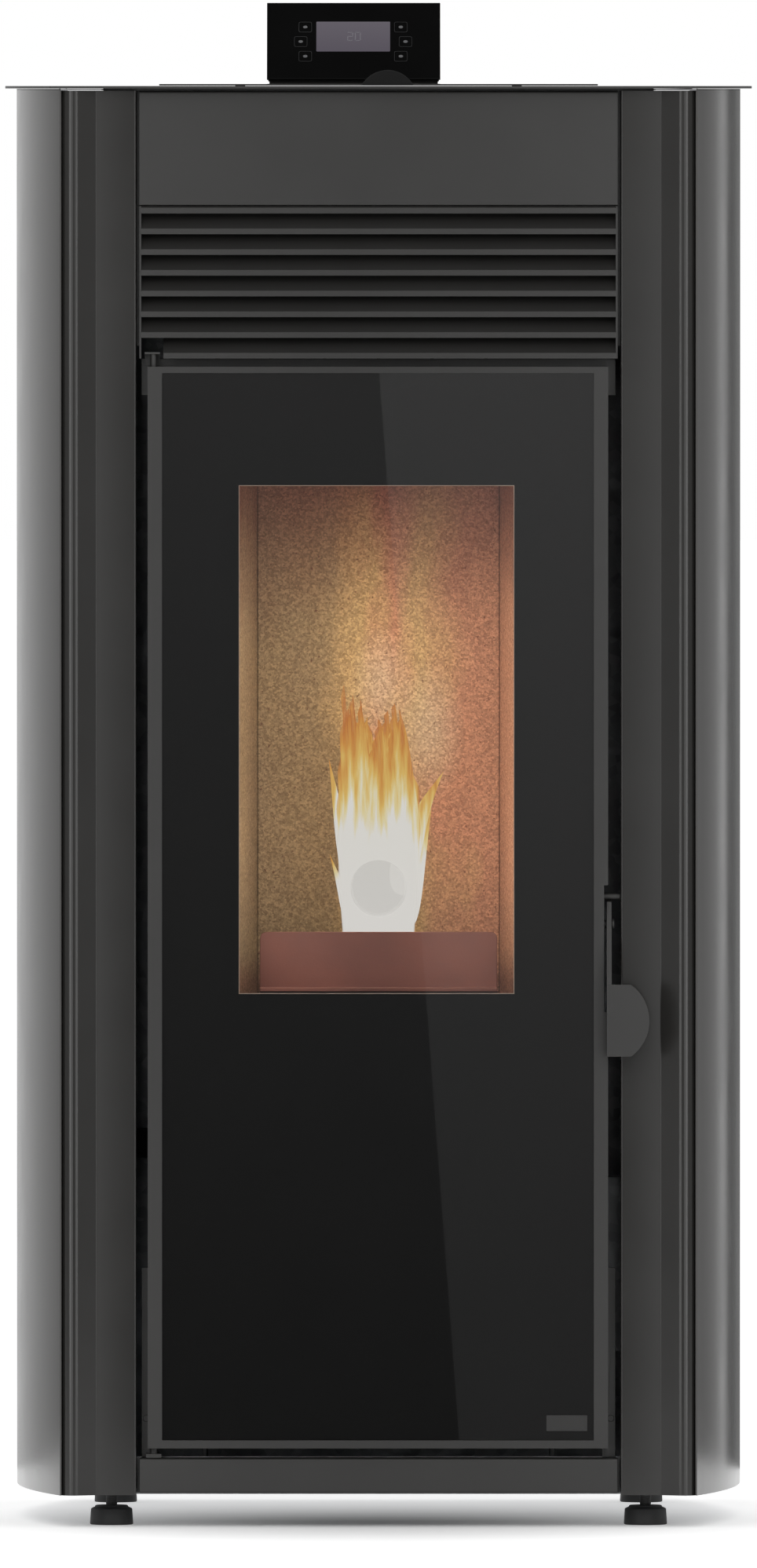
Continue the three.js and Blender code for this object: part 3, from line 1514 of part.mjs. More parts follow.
function warmAirDuct() {
	const y = [ductFrontY, ductRearY];
	return cut(
		box(frameX(ductHalfWidth), y, [ductBottom, ductTop]),
		box(
			frameX(ductHalfWidth - ductWall),
			[y[0] - overlap, y[1] - ductWall],
			[ductBottom + ductWall, ductTop - ductWall],
		),
		box(
			frameX(ductInletHalfWidth),
			[y[0] + 2 * ductWall, y[1] - ductWall],
			[ductBottom - overlap, ductBottom + ductWall + overlap],
		),
	);
}

addPart('warm_air_duct', warmAirDuct(), finishes.innerSteel());

// ---------------------------------------------------------------------------------------------------
// Smoke fan and flue collar
// ---------------------------------------------------------------------------------------------------

// Scroll outline: half round at the fan, square at the flue collar.
function smokeScrollOutline(inset) {
	const radius = smokeScrollRadius - inset;
	const endX = smokeFanX + smokeOutletX - inset;
	const shape = new THREE.Shape();
	shape.absarc(smokeFanX, smokeFanZ, radius, Math.PI / 2, (3 * Math.PI) / 2, false);
	shape.lineTo(endX, smokeFanZ - radius);
	shape.lineTo(endX, smokeFanZ + radius);
	return shape;
}

function smokeFanHousing() {
	const y = [smokeScrollFrontY, smokeScrollRearY];
	const rearWall = [y[1] - smokeWall - overlap, y[1] + overlap];
	return cut(
		frontPrism(smokeScrollOutline(0), y),
		frontPrism(smokeScrollOutline(smokeWall), [y[0] + smokeWall, y[1] - smokeWall]),
		rod('y', smokeInletRadius, [y[0] - overlap, y[0] + smokeWall + overlap], smokeLine),
		rod('y', smokeShaftRadius + holeGap, rearWall, smokeLine, 16),
		rod('y', spigotRadius - spigotWall, rearWall, { x: flueX, z: smokeFanZ }),
	);
}

// Fan wheel: a back disc with flat blades round a bored hub.
function fanWheel(at, [y0, y1], radius, hubRadius, shaftRadius, bladeCount, discThickness) {
	const disc = rod('y', radius, [y1 - discThickness, y1], at, 32);
	const hub = rod('y', hubRadius, [y0, y1], at, 16);
	const blades = Array.from({ length: bladeCount }, (unused, index) => {
		const inner = hubRadius - overlap;
		const blade = new THREE.BoxGeometry(radius - overlap - inner, y1 - y0, discThickness);
		blade.translate((radius - overlap + inner) / 2, (y0 + y1) / 2, 0);
		blade.rotateY((2 * Math.PI * index) / bladeCount);
		return solidOf(blade.translate(at.x, 0, at.z));
	});
	const bore = rod('y', shaftRadius + runningGap, [y0 - overlap, y1 + overlap], at, 16);
	return cut(join(disc, hub, ...blades), bore);
}

function fanMotor(at, mountY, length, radius, shaftRadius, shaftFromY) {
	const can = rod('y', radius, [mountY, mountY + length], at);
	const shaft = rod('y', shaftRadius, [shaftFromY, mountY + overlap], at, 16);
	return join(can, shaft);
}

const wheelDisc = 2;
const smokeWheelRearY = smokeScrollRearY - smokeWall - smokeWheelRearGap;
const smokeWheelY = [smokeWheelRearY - smokeWheelDepth, smokeWheelRearY];

addPart('smoke_fan_housing', smokeFanHousing(), finishes.innerSteel());
addPart(
	'smoke_fan_wheel',
	fanWheel(smokeLine, smokeWheelY, smokeWheelRadius, smokeHubRadius, smokeShaftRadius, smokeBladeCount, wheelDisc),
	finishes.innerSteel(),
);
addPart(
	'smoke_fan_motor',
	fanMotor(smokeLine, smokeScrollRearY + seat, smokeMotorLength, smokeMotorRadius, smokeShaftRadius, smokeWheelY[0]),
	finishes.motor(),
);

function flueCollar() {
	const y = [smokeScrollRearY + seat, rearY + spigotReach];
	const at = { x: flueX, z: smokeFanZ };
	return cut(
		rod('y', spigotRadius, y, at, 32),
		rod('y', spigotRadius - spigotWall, [y[0] - overlap, y[1] + overlap], at, 32),
	);
}

addPart('flue_collar', flueCollar(), finishes.innerSteel());

// ---------------------------------------------------------------------------------------------------
// Combustion air and igniter
// ---------------------------------------------------------------------------------------------------

function combustionAirPipe() {
	const y = [fireboxRearY + seat, rearY + airPipeReach];
	const at = { x: airPipeX, z: hearthTop + airPipeHeight };
	return cut(
		rod('y', airPipeRadius, y, at),
		rod('y', airPipeRadius - airPipeWall, [y[0] - overlap, y[1] + overlap], at),
	);
}

function igniter() {
	const at = { x: igniterX, z: hearthTop + igniterHeight };
	const flangeY = [fireboxRearY + seat, fireboxRearY + seat + igniterFlange];
	return join(
		rod('y', igniterRadius, [potRearY + igniterTipGap, flangeY[1] + igniterTail], at, 16),
		rod('y', igniterFlangeRadius, flangeY, at),
	);
}

addPart('combustion_air_pipe', combustionAirPipe(), finishes.innerSteel());
addPart('igniter', igniter(), finishes.innerSteel());

// ---------------------------------------------------------------------------------------------------
// Room-air fan
// ---------------------------------------------------------------------------------------------------

const roomLine = { x: roomFanX, z: roomFanZ };

function roomScrollOutline(inset, top) {
	const radius = roomScrollRadius - inset;
	const shape = new THREE.Shape();
	shape.absarc(roomFanX, roomFanZ, radius, Math.PI, 2 * Math.PI, false);
	shape.lineTo(roomFanX + radius, top);
	shape.lineTo(roomFanX - radius, top);
	return shape;
}

function roomFanHousing() {
	const y = [roomScrollFrontY, roomScrollRearY];
	const top = roomFanZ + roomOutletHeight;
	const outer = frontPrism(roomScrollOutline(0, top), y);
	const foot = box(
		[roomFanX - fanFootWidth / 2, roomFanX + fanFootWidth / 2],
		[y[0] + roomWall, y[0] + roomWall + fanFootDepth],
		[trayTop + seat, roomFanZ - roomScrollRadius / 2],
	);
	return cut(
		join(outer, foot),
		frontPrism(roomScrollOutline(roomWall, top + overlap), [y[0] + roomWall, y[1] - roomWall]),
		rod('y', roomInletRadius, [y[0] - overlap, y[0] + roomWall + overlap], roomLine),
		rod('y', roomShaftRadius + holeGap, [y[1] - roomWall - overlap, y[1] + overlap], roomLine, 16),
	);
}

const roomWheelRearY = roomScrollRearY - roomWall - roomWheelRearGap;
const roomWheelY = [roomWheelRearY - roomWheelDepth, roomWheelRearY];

addPart('room_fan_housing', roomFanHousing(), finishes.innerSteel());
addPart(
	'room_fan_wheel',
	fanWheel(roomLine, roomWheelY, roomWheelRadius, roomHubRadius, roomShaftRadius, roomBladeCount, wheelDisc),
	finishes.innerSteel(),
);
addPart(
	'room_fan_motor',
	fanMotor(roomLine, roomScrollRearY + seat, roomMotorLength, roomMotorRadius, roomShaftRadius, roomWheelY[0]),
	finishes.motor(),
);

// ---------------------------------------------------------------------------------------------------
// Electrics
// ---------------------------------------------------------------------------------------------------

function controlBoard() {
	const x = [fireboxHalfWidth + seat, fireboxHalfWidth + seat + boardThickness];
	const z = trayTop + boardBottom;
	return box(x, [boardFrontY, boardFrontY + boardDepth], [z, z + boardHeight]);
}

function powerInlet() {
	const plug = box(
		[inletX - inletHalfWidth, inletX + inletHalfWidth],
		[rearY - inletDepth, rearY + seat + overlap],
		[electricsZ - inletHalfHeight, electricsZ + inletHalfHeight],
	);
	const flange = box(
		[inletX - inletHalfWidth - inletFlangeLap, inletX + inletHalfWidth + inletFlangeLap],
		[rearY + seat, rearY + seat + inletFlange],
		[electricsZ - inletHalfHeight - inletFlangeLap, electricsZ + inletHalfHeight + inletFlangeLap],
	);
	const socket = box(
		[inletX - socketHalfWidth, inletX + socketHalfWidth],
		[rearY + inletFlange - socketDepth, rearY + inletFlange + overlap],
		[electricsZ - socketHalfHeight, electricsZ + socketHalfHeight],
	);
	return cut(join(plug, flange), socket);
}

// Rocker switch: a frame with a pin across it, and a key that tips on the pin.
function rockerFrame() {
	const outerX = rockerHalfWidth + rockerFrameWall;
	const outerZ = rockerHalfHeight + rockerFrameWall;
	const y = [rearY - rockerFrameDepth, rearY + seat + overlap];
	const shell = box([rockerX - outerX, rockerX + outerX], y, [electricsZ - outerZ, electricsZ + outerZ]);
	const flange = box(
		[rockerX - outerX - rockerFrameWall, rockerX + outerX + rockerFrameWall],
		[rearY + seat, rearY + seat + rockerFrameWall],
		[electricsZ - outerZ - rockerFrameWall, electricsZ + outerZ + rockerFrameWall],
	);
	const room = box(
		[rockerX - rockerHalfWidth, rockerX + rockerHalfWidth],
		[y[0] + rockerFrameWall, y[1] + 2 * rockerFrameWall],
		[electricsZ - rockerHalfHeight, electricsZ + rockerHalfHeight],
	);
	const pin = rod(
		'x',
		rockerPinRadius,
		[rockerX - rockerHalfWidth - overlap, rockerX + rockerHalfWidth + overlap],
		{ y: rearY - rockerRadius, z: electricsZ },
		12,
	);
	return join(cut(join(shell, flange), room), pin);
}

function rockerKey() {
	const centreY = rearY - rockerRadius;
	const centre = point(centreY, electricsZ);
	const half = rockerTravel / 2;
	const reach = rockerHalfHeight - 2 * overlap;
	const crown = rockerRadius + overlap;
	const tipped = [
		point(centreY - 2 * rockerPinRadius, electricsZ - 2 * rockerPinRadius),
		point(centreY + crown - reach * Math.sin(half), electricsZ - reach * Math.cos(half)),
		point(centreY + crown, electricsZ),
		point(centreY + crown + reach * Math.sin(half), electricsZ + reach * Math.cos(half)),
		point(centreY - 2 * rockerPinRadius, electricsZ + 2 * rockerPinRadius),
	].map((corner) => corner.rotateAround(centre, -half));
	return cut(
		sidePrism(new THREE.Shape(tipped), [rockerX - rockerHalfWidth + seat, rockerX + rockerHalfWidth - seat]),
		rod(
			'x',
			rockerPinRadius + runningGap,
			[rockerX - rockerHalfWidth, rockerX + rockerHalfWidth],
			{ y: centreY, z: electricsZ },
			12,
		),
	);
}

addPart('control_board', controlBoard(), finishes.plastic());
addPart('power_inlet', powerInlet(), finishes.plastic());
addPart('switch_frame', rockerFrame(), finishes.plastic());
addPart('switch_rocker', rockerKey(), finishes.plastic());

// ---------------------------------------------------------------------------------------------------
// Control panel: a folded stand on the top plate, with the glazed unit leaning back on it
// ---------------------------------------------------------------------------------------------------

const displayX = [displayCentreX - displayWidth / 2, displayCentreX + displayWidth / 2];

// The unit's own frame: x to the right, y from the glass to the back, z up the glass.
const displayUnit = new THREE.Group();
displayUnit.rotation.x = -displayTilt;
displayUnit.position.set(0, displayFrontY, displayLowZ);
stove.add(displayUnit);

function displayStand() {
	const slope = point(Math.sin(displayTilt), Math.cos(displayTilt));
	const footFront = displayFrontY - displayFootFront;
	const behindGlass = displayThickness + seat - (displayLowZ - displayFootBottom) * Math.sin(displayTilt);
	const kneeY = displayFrontY + behindGlass / Math.cos(displayTilt);
	const footRear = footFront + displayFootDepth;
	const foot = box(displayX, [footFront, footRear], [displayFootBottom, displayFootTop]);
	const knee = point(kneeY, displayFootBottom);
	const backTop = knee.clone().addScaledVector(slope, displayBackHeight);
	const back = sidePrism(
		sheetOutline([backTop, knee], displayFootSheet),
		[displayX[0] + 2 * displayShellInset, displayX[1] - 2 * displayShellInset],
	);
	const belowFoot = box(
		[displayX[0] - overlap, displayX[1] + overlap],
		[footFront - overlap, footRear + overlap],
		[displayFootBottom - 2 * displayFootSheet, displayFootBottom],
	);
	return cut(join(foot, back), belowFoot);
}

addPart('display_stand', displayStand(), finishes.casing());
addPart(
	'display_glass',
	box(displayX, [0, displayGlass], [0, displayGlassHeight]),
	finishes.glass(),
	displayUnit,
);
addPart(
	'display_shell',
	box(
		[displayX[0] + displayShellInset, displayX[1] - displayShellInset],
		[displayGlass + seat, displayThickness],
		[displayShellInset, displayGlassHeight - displayShellInset],
	),
	finishes.plastic(),
	displayUnit,
);

// ---------------------------------------------------------------------------------------------------
// Ash drawer
// ---------------------------------------------------------------------------------------------------

function ashDrawer() {
	const halfWidth = ashDoorHalfWidth - drawerSideGap;
	const bottom = ashFloorTop + drawerRunnerHeight + seat;
	const z = [bottom, bottom + drawerHeight];
	const y = [faceFrontY + drawerWall, faceFrontY + drawerWall + drawerDepth];
	const tray = cut(
		box(frameX(halfWidth), y, z),
		box(
			frameX(halfWidth - drawerWall),
			[y[0] + drawerWall, y[1] - drawerWall],
			[z[0] + drawerWall, z[1] + overlap],
		),
	);
	const runner = (side) => {
		const reach = [halfWidth - 4 * drawerWall, halfWidth - drawerWall];
		const edges = reach.map((x) => side * x).sort((a, b) => a - b);
		return box(edges, [faceRearY + seat, y[1]], [ashFloorTop + seat, z[0] + overlap]);
	};
	const middle = (z[0] + z[1]) / 2;
	const pull = box(
		frameX(drawerPullHalfWidth),
		[y[0] - drawerPullReach, y[0] + overlap],
		[middle, middle + drawerPullSheet],
	);
	return join(tray, runner(-1), runner(1), pull);
}

addPart('ash_drawer', ashDrawer(), finishes.innerSteel());

export default stove;
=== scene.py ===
"""Pellet stove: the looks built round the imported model.

Every piece is in metres, in the model's own frame: +Z up, the front towards -Y. Each sub-assembly is a class
whose fields are its sizes; its build method works out the surfaces with numpy and dresses them.
"""
from __future__ import annotations

import json
import logging
import math
from dataclasses import dataclass
from enum import Enum
from typing import Iterable, Sequence

import bmesh
import bpy
import numpy as np
from mathutils import Matrix, Vector

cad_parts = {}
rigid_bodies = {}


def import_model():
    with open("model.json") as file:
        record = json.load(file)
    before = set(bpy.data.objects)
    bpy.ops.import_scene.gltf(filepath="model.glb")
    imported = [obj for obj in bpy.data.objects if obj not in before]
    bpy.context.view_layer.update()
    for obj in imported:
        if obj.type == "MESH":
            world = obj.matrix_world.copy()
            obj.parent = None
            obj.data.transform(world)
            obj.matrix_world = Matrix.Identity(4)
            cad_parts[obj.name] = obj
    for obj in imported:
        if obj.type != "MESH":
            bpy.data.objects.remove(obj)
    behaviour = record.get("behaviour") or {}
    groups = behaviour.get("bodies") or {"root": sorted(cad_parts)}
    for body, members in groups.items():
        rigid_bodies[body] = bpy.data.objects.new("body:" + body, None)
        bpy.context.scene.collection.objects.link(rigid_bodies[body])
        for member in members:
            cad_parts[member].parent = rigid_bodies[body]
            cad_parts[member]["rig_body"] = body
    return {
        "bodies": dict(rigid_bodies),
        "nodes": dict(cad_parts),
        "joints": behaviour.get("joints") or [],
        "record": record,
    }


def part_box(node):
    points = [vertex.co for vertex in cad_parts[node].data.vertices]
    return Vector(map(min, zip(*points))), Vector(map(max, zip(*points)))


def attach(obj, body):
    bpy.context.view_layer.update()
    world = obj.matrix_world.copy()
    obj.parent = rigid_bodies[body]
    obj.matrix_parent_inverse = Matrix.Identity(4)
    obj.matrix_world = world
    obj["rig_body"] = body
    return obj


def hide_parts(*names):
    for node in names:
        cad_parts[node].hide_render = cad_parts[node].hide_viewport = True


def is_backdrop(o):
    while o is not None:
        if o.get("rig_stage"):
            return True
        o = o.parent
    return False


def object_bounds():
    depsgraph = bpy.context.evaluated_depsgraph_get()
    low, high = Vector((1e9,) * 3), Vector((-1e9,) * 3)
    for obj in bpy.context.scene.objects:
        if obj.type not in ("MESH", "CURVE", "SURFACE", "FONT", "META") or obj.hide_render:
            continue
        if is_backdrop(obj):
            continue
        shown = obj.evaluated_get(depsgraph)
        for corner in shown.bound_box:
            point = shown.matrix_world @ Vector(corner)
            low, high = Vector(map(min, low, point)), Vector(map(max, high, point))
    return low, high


log = logging.getLogger("pellet_stove")
Colour = tuple[float, float, float]
MERGE_DISTANCE = 2e-6
FLAT_ANGLE = math.radians(0.5)
SMOOTH_ANGLE = math.radians(32.0)


class Body(str, Enum):
    """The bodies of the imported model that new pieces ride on, apart from the feet."""

    CASING = "casing"
    DOOR = "door"


class Plane(Enum):
    """Where an outline is drawn, and the order of its two axes and of the one that it is carried along."""

    PLAN = (0, 1, 2)
    SIDE = (1, 2, 0)
    FRONT = (0, 2, 1)


# ---------------------------------------------------------------------------------------------------
# Finishes
# ---------------------------------------------------------------------------------------------------


class Shader:
    """A material's node tree, with short calls to add and join its nodes."""

    def __init__(self, name: str) -> None:
        """Starts an empty node tree with an output and one Principled shader.

        Args:
            name: The material's name.
        """
        self.material = bpy.data.materials.new(name)
        self.material.use_nodes = True
        self.tree = self.material.node_tree
        self.tree.nodes.clear()
        self.output = self.tree.nodes.new("ShaderNodeOutputMaterial")
        self.surface = self.tree.nodes.new("ShaderNodeBsdfPrincipled")
        self.join(self.surface.outputs[0], self.output.inputs["Surface"])
        self.place = self.tree.nodes.new("ShaderNodeTexCoord").outputs["Object"]

    def join(self, source: bpy.types.NodeSocket, target: bpy.types.NodeSocket) -> None:
        """Links one socket to another."""
        self.tree.links.new(source, target)

    def set(self, **values: object) -> None:
        """Sets the Principled shader's own sockets, with _ for a blank in each name."""
        for name, value in values.items():
            self.surface.inputs[name.replace("_", " ")].default_value = value

    def stretched(self, scale: Sequence[float]) -> bpy.types.NodeSocket:
        """Object coordinates, scaled along each axis."""
        node = self.tree.nodes.new("ShaderNodeMapping")
        node.inputs["Scale"].default_value = scale
        self.join(self.place, node.inputs["Vector"])
        return node.outputs["Vector"]

    def noise(self, scale: float, detail: float = 3.0,
              place: bpy.types.NodeSocket | None = None) -> bpy.types.NodeSocket:
        """Noise from 0 to 1, at a scale in repeats per metre."""
        node = self.tree.nodes.new("ShaderNodeTexNoise")
        node.inputs["Scale"].default_value = scale
        node.inputs["Detail"].default_value = detail
        self.join(place or self.place, node.inputs["Vector"])
        return node.outputs["Fac"]

    def cells(self, scale: float) -> bpy.types.NodeOutputs:
        """Three random numbers from 0 to 1 for each Voronoi cell, at a scale in cells per metre."""
        node = self.tree.nodes.new("ShaderNodeTexVoronoi")
        node.inputs["Scale"].default_value = scale
        self.join(self.place, node.inputs["Vector"])
        shade = self.tree.nodes.new("ShaderNodeSeparateColor")
        self.join(node.outputs["Color"], shade.inputs[0])
        return shade.outputs

    def axis(self, index: int) -> bpy.types.NodeSocket:
        """One of the object coordinates, in metres."""
        node = self.tree.nodes.new("ShaderNodeSeparateXYZ")
        self.join(self.place, node.inputs[0])
        return node.outputs[index]

    def distance(self, centre: Sequence[float], scale: Sequence[float]) -> bpy.types.NodeSocket:
        """How far a point is from a centre, with each axis scaled first, in metres."""
        moved = self.tree.nodes.new("ShaderNodeMapping")
        moved.inputs["Location"].default_value = tuple(-c * k for c, k in zip(centre, scale))
        moved.inputs["Scale"].default_value = scale
        self.join(self.place, moved.inputs["Vector"])
        length = self.tree.nodes.new("ShaderNodeVectorMath")
        length.operation = "LENGTH"
        self.join(moved.outputs["Vector"], length.inputs[0])
        return length.outputs["Value"]

    def attribute(self, name: str) -> bpy.types.NodeSocket:
        """A piece's own attribute, as a number."""
        node = self.tree.nodes.new("ShaderNodeAttribute")
        node.attribute_name = name
        return node.outputs["Fac"]

    def span(self, value: bpy.types.NodeSocket, low: float, high: float, start: float, end: float,
             soft: bool = False) -> bpy.types.NodeSocket:
        """Maps low to high onto start to end, held at both ends, straight or with soft ends."""
        node = self.tree.nodes.new("ShaderNodeMapRange")
        if soft:
            node.interpolation_type = "SMOOTHSTEP"
        for name, number in zip(("From Min", "From Max", "To Min", "To Max"), (low, high, start, end)):
            node.inputs[name].default_value = number
        self.join(value, node.inputs["Value"])
        return node.outputs["Result"]

    def feed(self, slots: Sequence[bpy.types.NodeSocket], values: Sequence[object]) -> None:
        """Links or sets each slot, by whether its value is a socket."""
        for slot, value in zip(slots, values):
            if isinstance(value, bpy.types.NodeSocket):
                self.join(value, slot)
            else:
                slot.default_value = (*value, 1.0) if isinstance(value, tuple) else value

    def maths(self, operation: str, first: object, second: object) -> bpy.types.NodeSocket:
        """One sum of two numbers or sockets."""
        node = self.tree.nodes.new("ShaderNodeMath")
        node.operation = operation
        self.feed(node.inputs, (first, second))
        return node.outputs[0]

    def ramp(self, value: bpy.types.NodeSocket, stops: Sequence[tuple[float, Colour]]) -> bpy.types.NodeSocket:
        """Colours along a value from 0 to 1."""
        node = self.tree.nodes.new("ShaderNodeValToRGB")
        elements = node.color_ramp.elements
        for index, (position, colour) in enumerate(stops):
            element = elements[index] if index < 2 else elements.new(position)
            element.position = position
            element.color = (*colour, 1.0)
        self.join(value, node.inputs["Fac"])
        return node.outputs["Color"]

    def mix(self, share: object, first: object, second: object, blend: str = "MIX") -> bpy.types.NodeSocket:
        """A colour between two others."""
        node = self.tree.nodes.new("ShaderNodeMix")
        node.data_type, node.blend_type = "RGBA", blend
        self.feed((node.inputs[0], node.inputs[6], node.inputs[7]), (share, first, second))
        return node.outputs[2]

    def relief(self, height: bpy.types.NodeSocket, depth: float) -> None:
        """Bumps the surface by a height from 0 to 1, depth in metres."""
        node = self.tree.nodes.new("ShaderNodeBump")
        node.inputs["Distance"].default_value = depth
        node.inputs["Strength"].default_value = 1.0
        self.join(height, node.inputs["Height"])
        self.join(node.outputs["Normal"], self.surface.inputs["Normal"])

    def colour(self, source: bpy.types.NodeSocket) -> None:
        """Gives the surface its colour."""
        self.join(source, self.surface.inputs["Base Color"])

    def roughness(self, source: bpy.types.NodeSocket) -> None:
        """Gives the surface its roughness."""
        self.join(source, self.surface.inputs["Roughness"])

    def shine(self, colour: bpy.types.NodeSocket, strength: float, rough: float) -> None:
        """Makes the surface a light of its own colour."""
        self.join(colour, self.surface.inputs["Emission Color"])
        self.set(Base_Color=(0.0, 0.0, 0.0, 1.0), Emission_Strength=strength, Specular_IOR_Level=0.0, Roughness=rough)


@dataclass(frozen=True)
class Finish:
    """A painted, bare or moulded surface: a base colour clouded by a second one, a fine grain and a sheen."""

    name: str
    slot: str
    base: Colour
    cloud: Colour
    rough: float = 0.45
    rough_spread: float = 0.08
    cloud_scale: float = 14.0
    grain_scale: float = 1800.0
    grain_depth: float = 0.00002
    metallic: float = 0.0
    specular: float = 0.5
    stretch: Colour = (1.0, 1.0, 1.0)

    def material(self) -> bpy.types.Material:
        """The finish as a material, made once.

        Returns:
            The Blender material.
        """
        return bpy.data.materials.get(self.name) or self.mixed()

    def mixed(self) -> bpy.types.Material:
        """Clouds from slow noise; grain and roughness from fast noise."""
        shader = Shader(self.name)
        cloud = shader.span(shader.noise(self.cloud_scale, 5.0), 0.35, 0.68, 0.0, 1.0)
        grain = shader.noise(self.grain_scale, 2.0, shader.stretched(self.stretch))
        shader.colour(shader.mix(cloud, self.base, self.cloud))
        self.sheen(shader, shader.maths("ADD", grain, cloud), 0.4, 1.5)
        shader.relief(grain, self.grain_depth)
        return shader.material

    def sheen(self, shader: Shader, value: bpy.types.NodeSocket, low: float, high: float) -> None:
        """Spreads the roughness over a value from low to high, and sets the metal and the specular level."""
        shader.roughness(shader.span(value, low, high, self.rough - self.rough_spread, self.rough + self.rough_spread))
        shader.set(Metallic=self.metallic, Specular_IOR_Level=self.specular)


@dataclass(frozen=True)
class Galvanised(Finish):
    """Zinc-coated sheet: angular spangles, each a little lighter or darker."""

    spangle_scale: float = 130.0

    def mixed(self) -> bpy.types.Material:
        """Spangles from the random colour of each Voronoi cell."""
        shader = Shader(self.name)
        shade = shader.cells(self.spangle_scale)
        shader.colour(shader.mix(shade[0], self.base, self.cloud))
        self.sheen(shader, shade[1], 0.0, 1.0)
        shader.relief(shader.noise(self.grain_scale, 2.0), self.grain_depth)
        return shader.material


@dataclass(frozen=True)
class Vermiculite(Finish):
    """Pressed mineral board: fine grains and a few dark pits on a tan colour, with painted firelight in zones across
    it, redder on the right, two pale spots of painted flame glare, and darker towards the top and the bottom.
    """

    middle: Colour = (0.3, 0.2, 0.1)
    right: Colour = (0.3, 0.1, 0.06)
    top: Colour = (0.1, 0.03, 0.02)
    soot: Colour = (0.08, 0.025, 0.018)
    pale: Colour = (0.46, 0.38, 0.27)
    # Painted glare: centres and reaches of two pale spots that stand in for the flame's glare on the lining.
    painted_glare_spots: tuple = (((0.002, 0.0, 0.665), 0.026), ((0.040, 0.0, 0.630), 0.030))

    def mixed(self) -> bpy.types.Material:
        """Zones of painted firelight follow x, darker bands follow z, all with cloudy borders; painted glare spots are
        laid on them; grains multiply them, pits are laid over them.
        """
        shader = Shader(self.name)
        clouds = shader.noise(self.cloud_scale, 4.0, shader.stretched((1.0, 1.0, 0.35)))
        cloudy = shader.span(clouds, 0.25, 0.75, -0.035, 0.035)
        # Painted firelight: the colour zones across x stand in for how the flame lights the lining.
        across = shader.span(shader.maths("ADD", shader.axis(0), cloudy), -0.11, 0.11, 0.0, 1.0)
        zones = shader.ramp(across, [(0.0, self.base), (1.0, self.right), (0.30, self.cloud), (0.43, self.middle),
                                     (0.54, self.right), (0.64, self.middle), (0.80, self.right)])
        height = shader.maths("ADD", shader.axis(2), cloudy)
        # Darker towards the top, from 0.72 m, and below 0.455 m.
        zones = shader.mix(shader.span(height, 0.72, 0.84, 0.0, 0.9), zones, self.top)
        zones = shader.mix(shader.span(shader.axis(2), 0.455, 0.43, 0.0, 0.55), zones, self.top)
        # Painted glare: each spot blends the lining towards the pale colour.
        for centre, reach in self.painted_glare_spots:
            near = shader.span(shader.distance(centre, (1.0, 0.0, 0.5)), reach, 0.2 * reach, 0.0, 0.55)
            zones = shader.mix(near, zones, self.pale)
        grain = shader.span(shader.noise(self.grain_scale, 2.0), 0.32, 0.68, 0.0, 1.0)
        shade = shader.cells(self.grain_scale * 0.7)
        mottle = shader.maths("ADD", shader.maths("MULTIPLY", grain, 0.35), shader.maths("MULTIPLY", shade[0], 0.65))
        grains = shader.ramp(mottle, [(0.0, (0.62, 0.58, 0.56)), (1.0, (1.62, 1.62, 1.58)), (0.5, (1.0, 1.0, 1.0))])
        pits = shader.span(shader.noise(self.grain_scale * 0.36, 1.0), 0.70, 0.78, 0.0, 0.7)
        shader.colour(shader.mix(pits, shader.mix(1.0, zones, grains, "MULTIPLY"), self.soot))
        shader.relief(shader.maths("ADD", grain, shade[1]), self.grain_depth)
        shader.set(Roughness=self.rough, Specular_IOR_Level=self.specular)
        return shader.material


@dataclass(frozen=True)
class Rope(Finish):
    """Woven glass rope: slanting strands from two crossed waves."""

    def mixed(self) -> bpy.types.Material:
        """Two diagonal waves give the strands their light and shade."""
        shader = Shader(self.name)
        strands = []
        for slant in (1.0, -1.0):
            wave = shader.tree.nodes.new("ShaderNodeTexWave")
            wave.bands_direction = "DIAGONAL"
            wave.inputs["Scale"].default_value = 160.0
            wave.inputs["Distortion"].default_value = 1.5
            shader.join(shader.stretched((1.0, slant, 1.0)), wave.inputs["Vector"])
            strands.append(wave.outputs["Fac"])
        weave = shader.maths("MULTIPLY", *strands)
        shader.colour(shader.mix(weave, self.base, self.cloud))
        shader.relief(weave, self.grain_depth)
        shader.set(Roughness=self.rough)
        return shader.material


@dataclass(frozen=True)
class Pane(Finish):
    """Clear heat-proof glass with a faint smoke tint."""

    def mixed(self) -> bpy.types.Material:
        """A clear, hardly rough surface, with faint wipe marks in its roughness."""
        shader = Shader(self.name)
        marks = shader.noise(9.0, 4.0, shader.stretched((1.0, 1.0, 0.25)))
        shader.roughness(shader.span(marks, 0.4, 0.75, 0.0, self.rough))
        shader.set(Base_Color=(*self.base, 1.0), Transmission_Weight=1.0, IOR=1.5)
        return shader.material


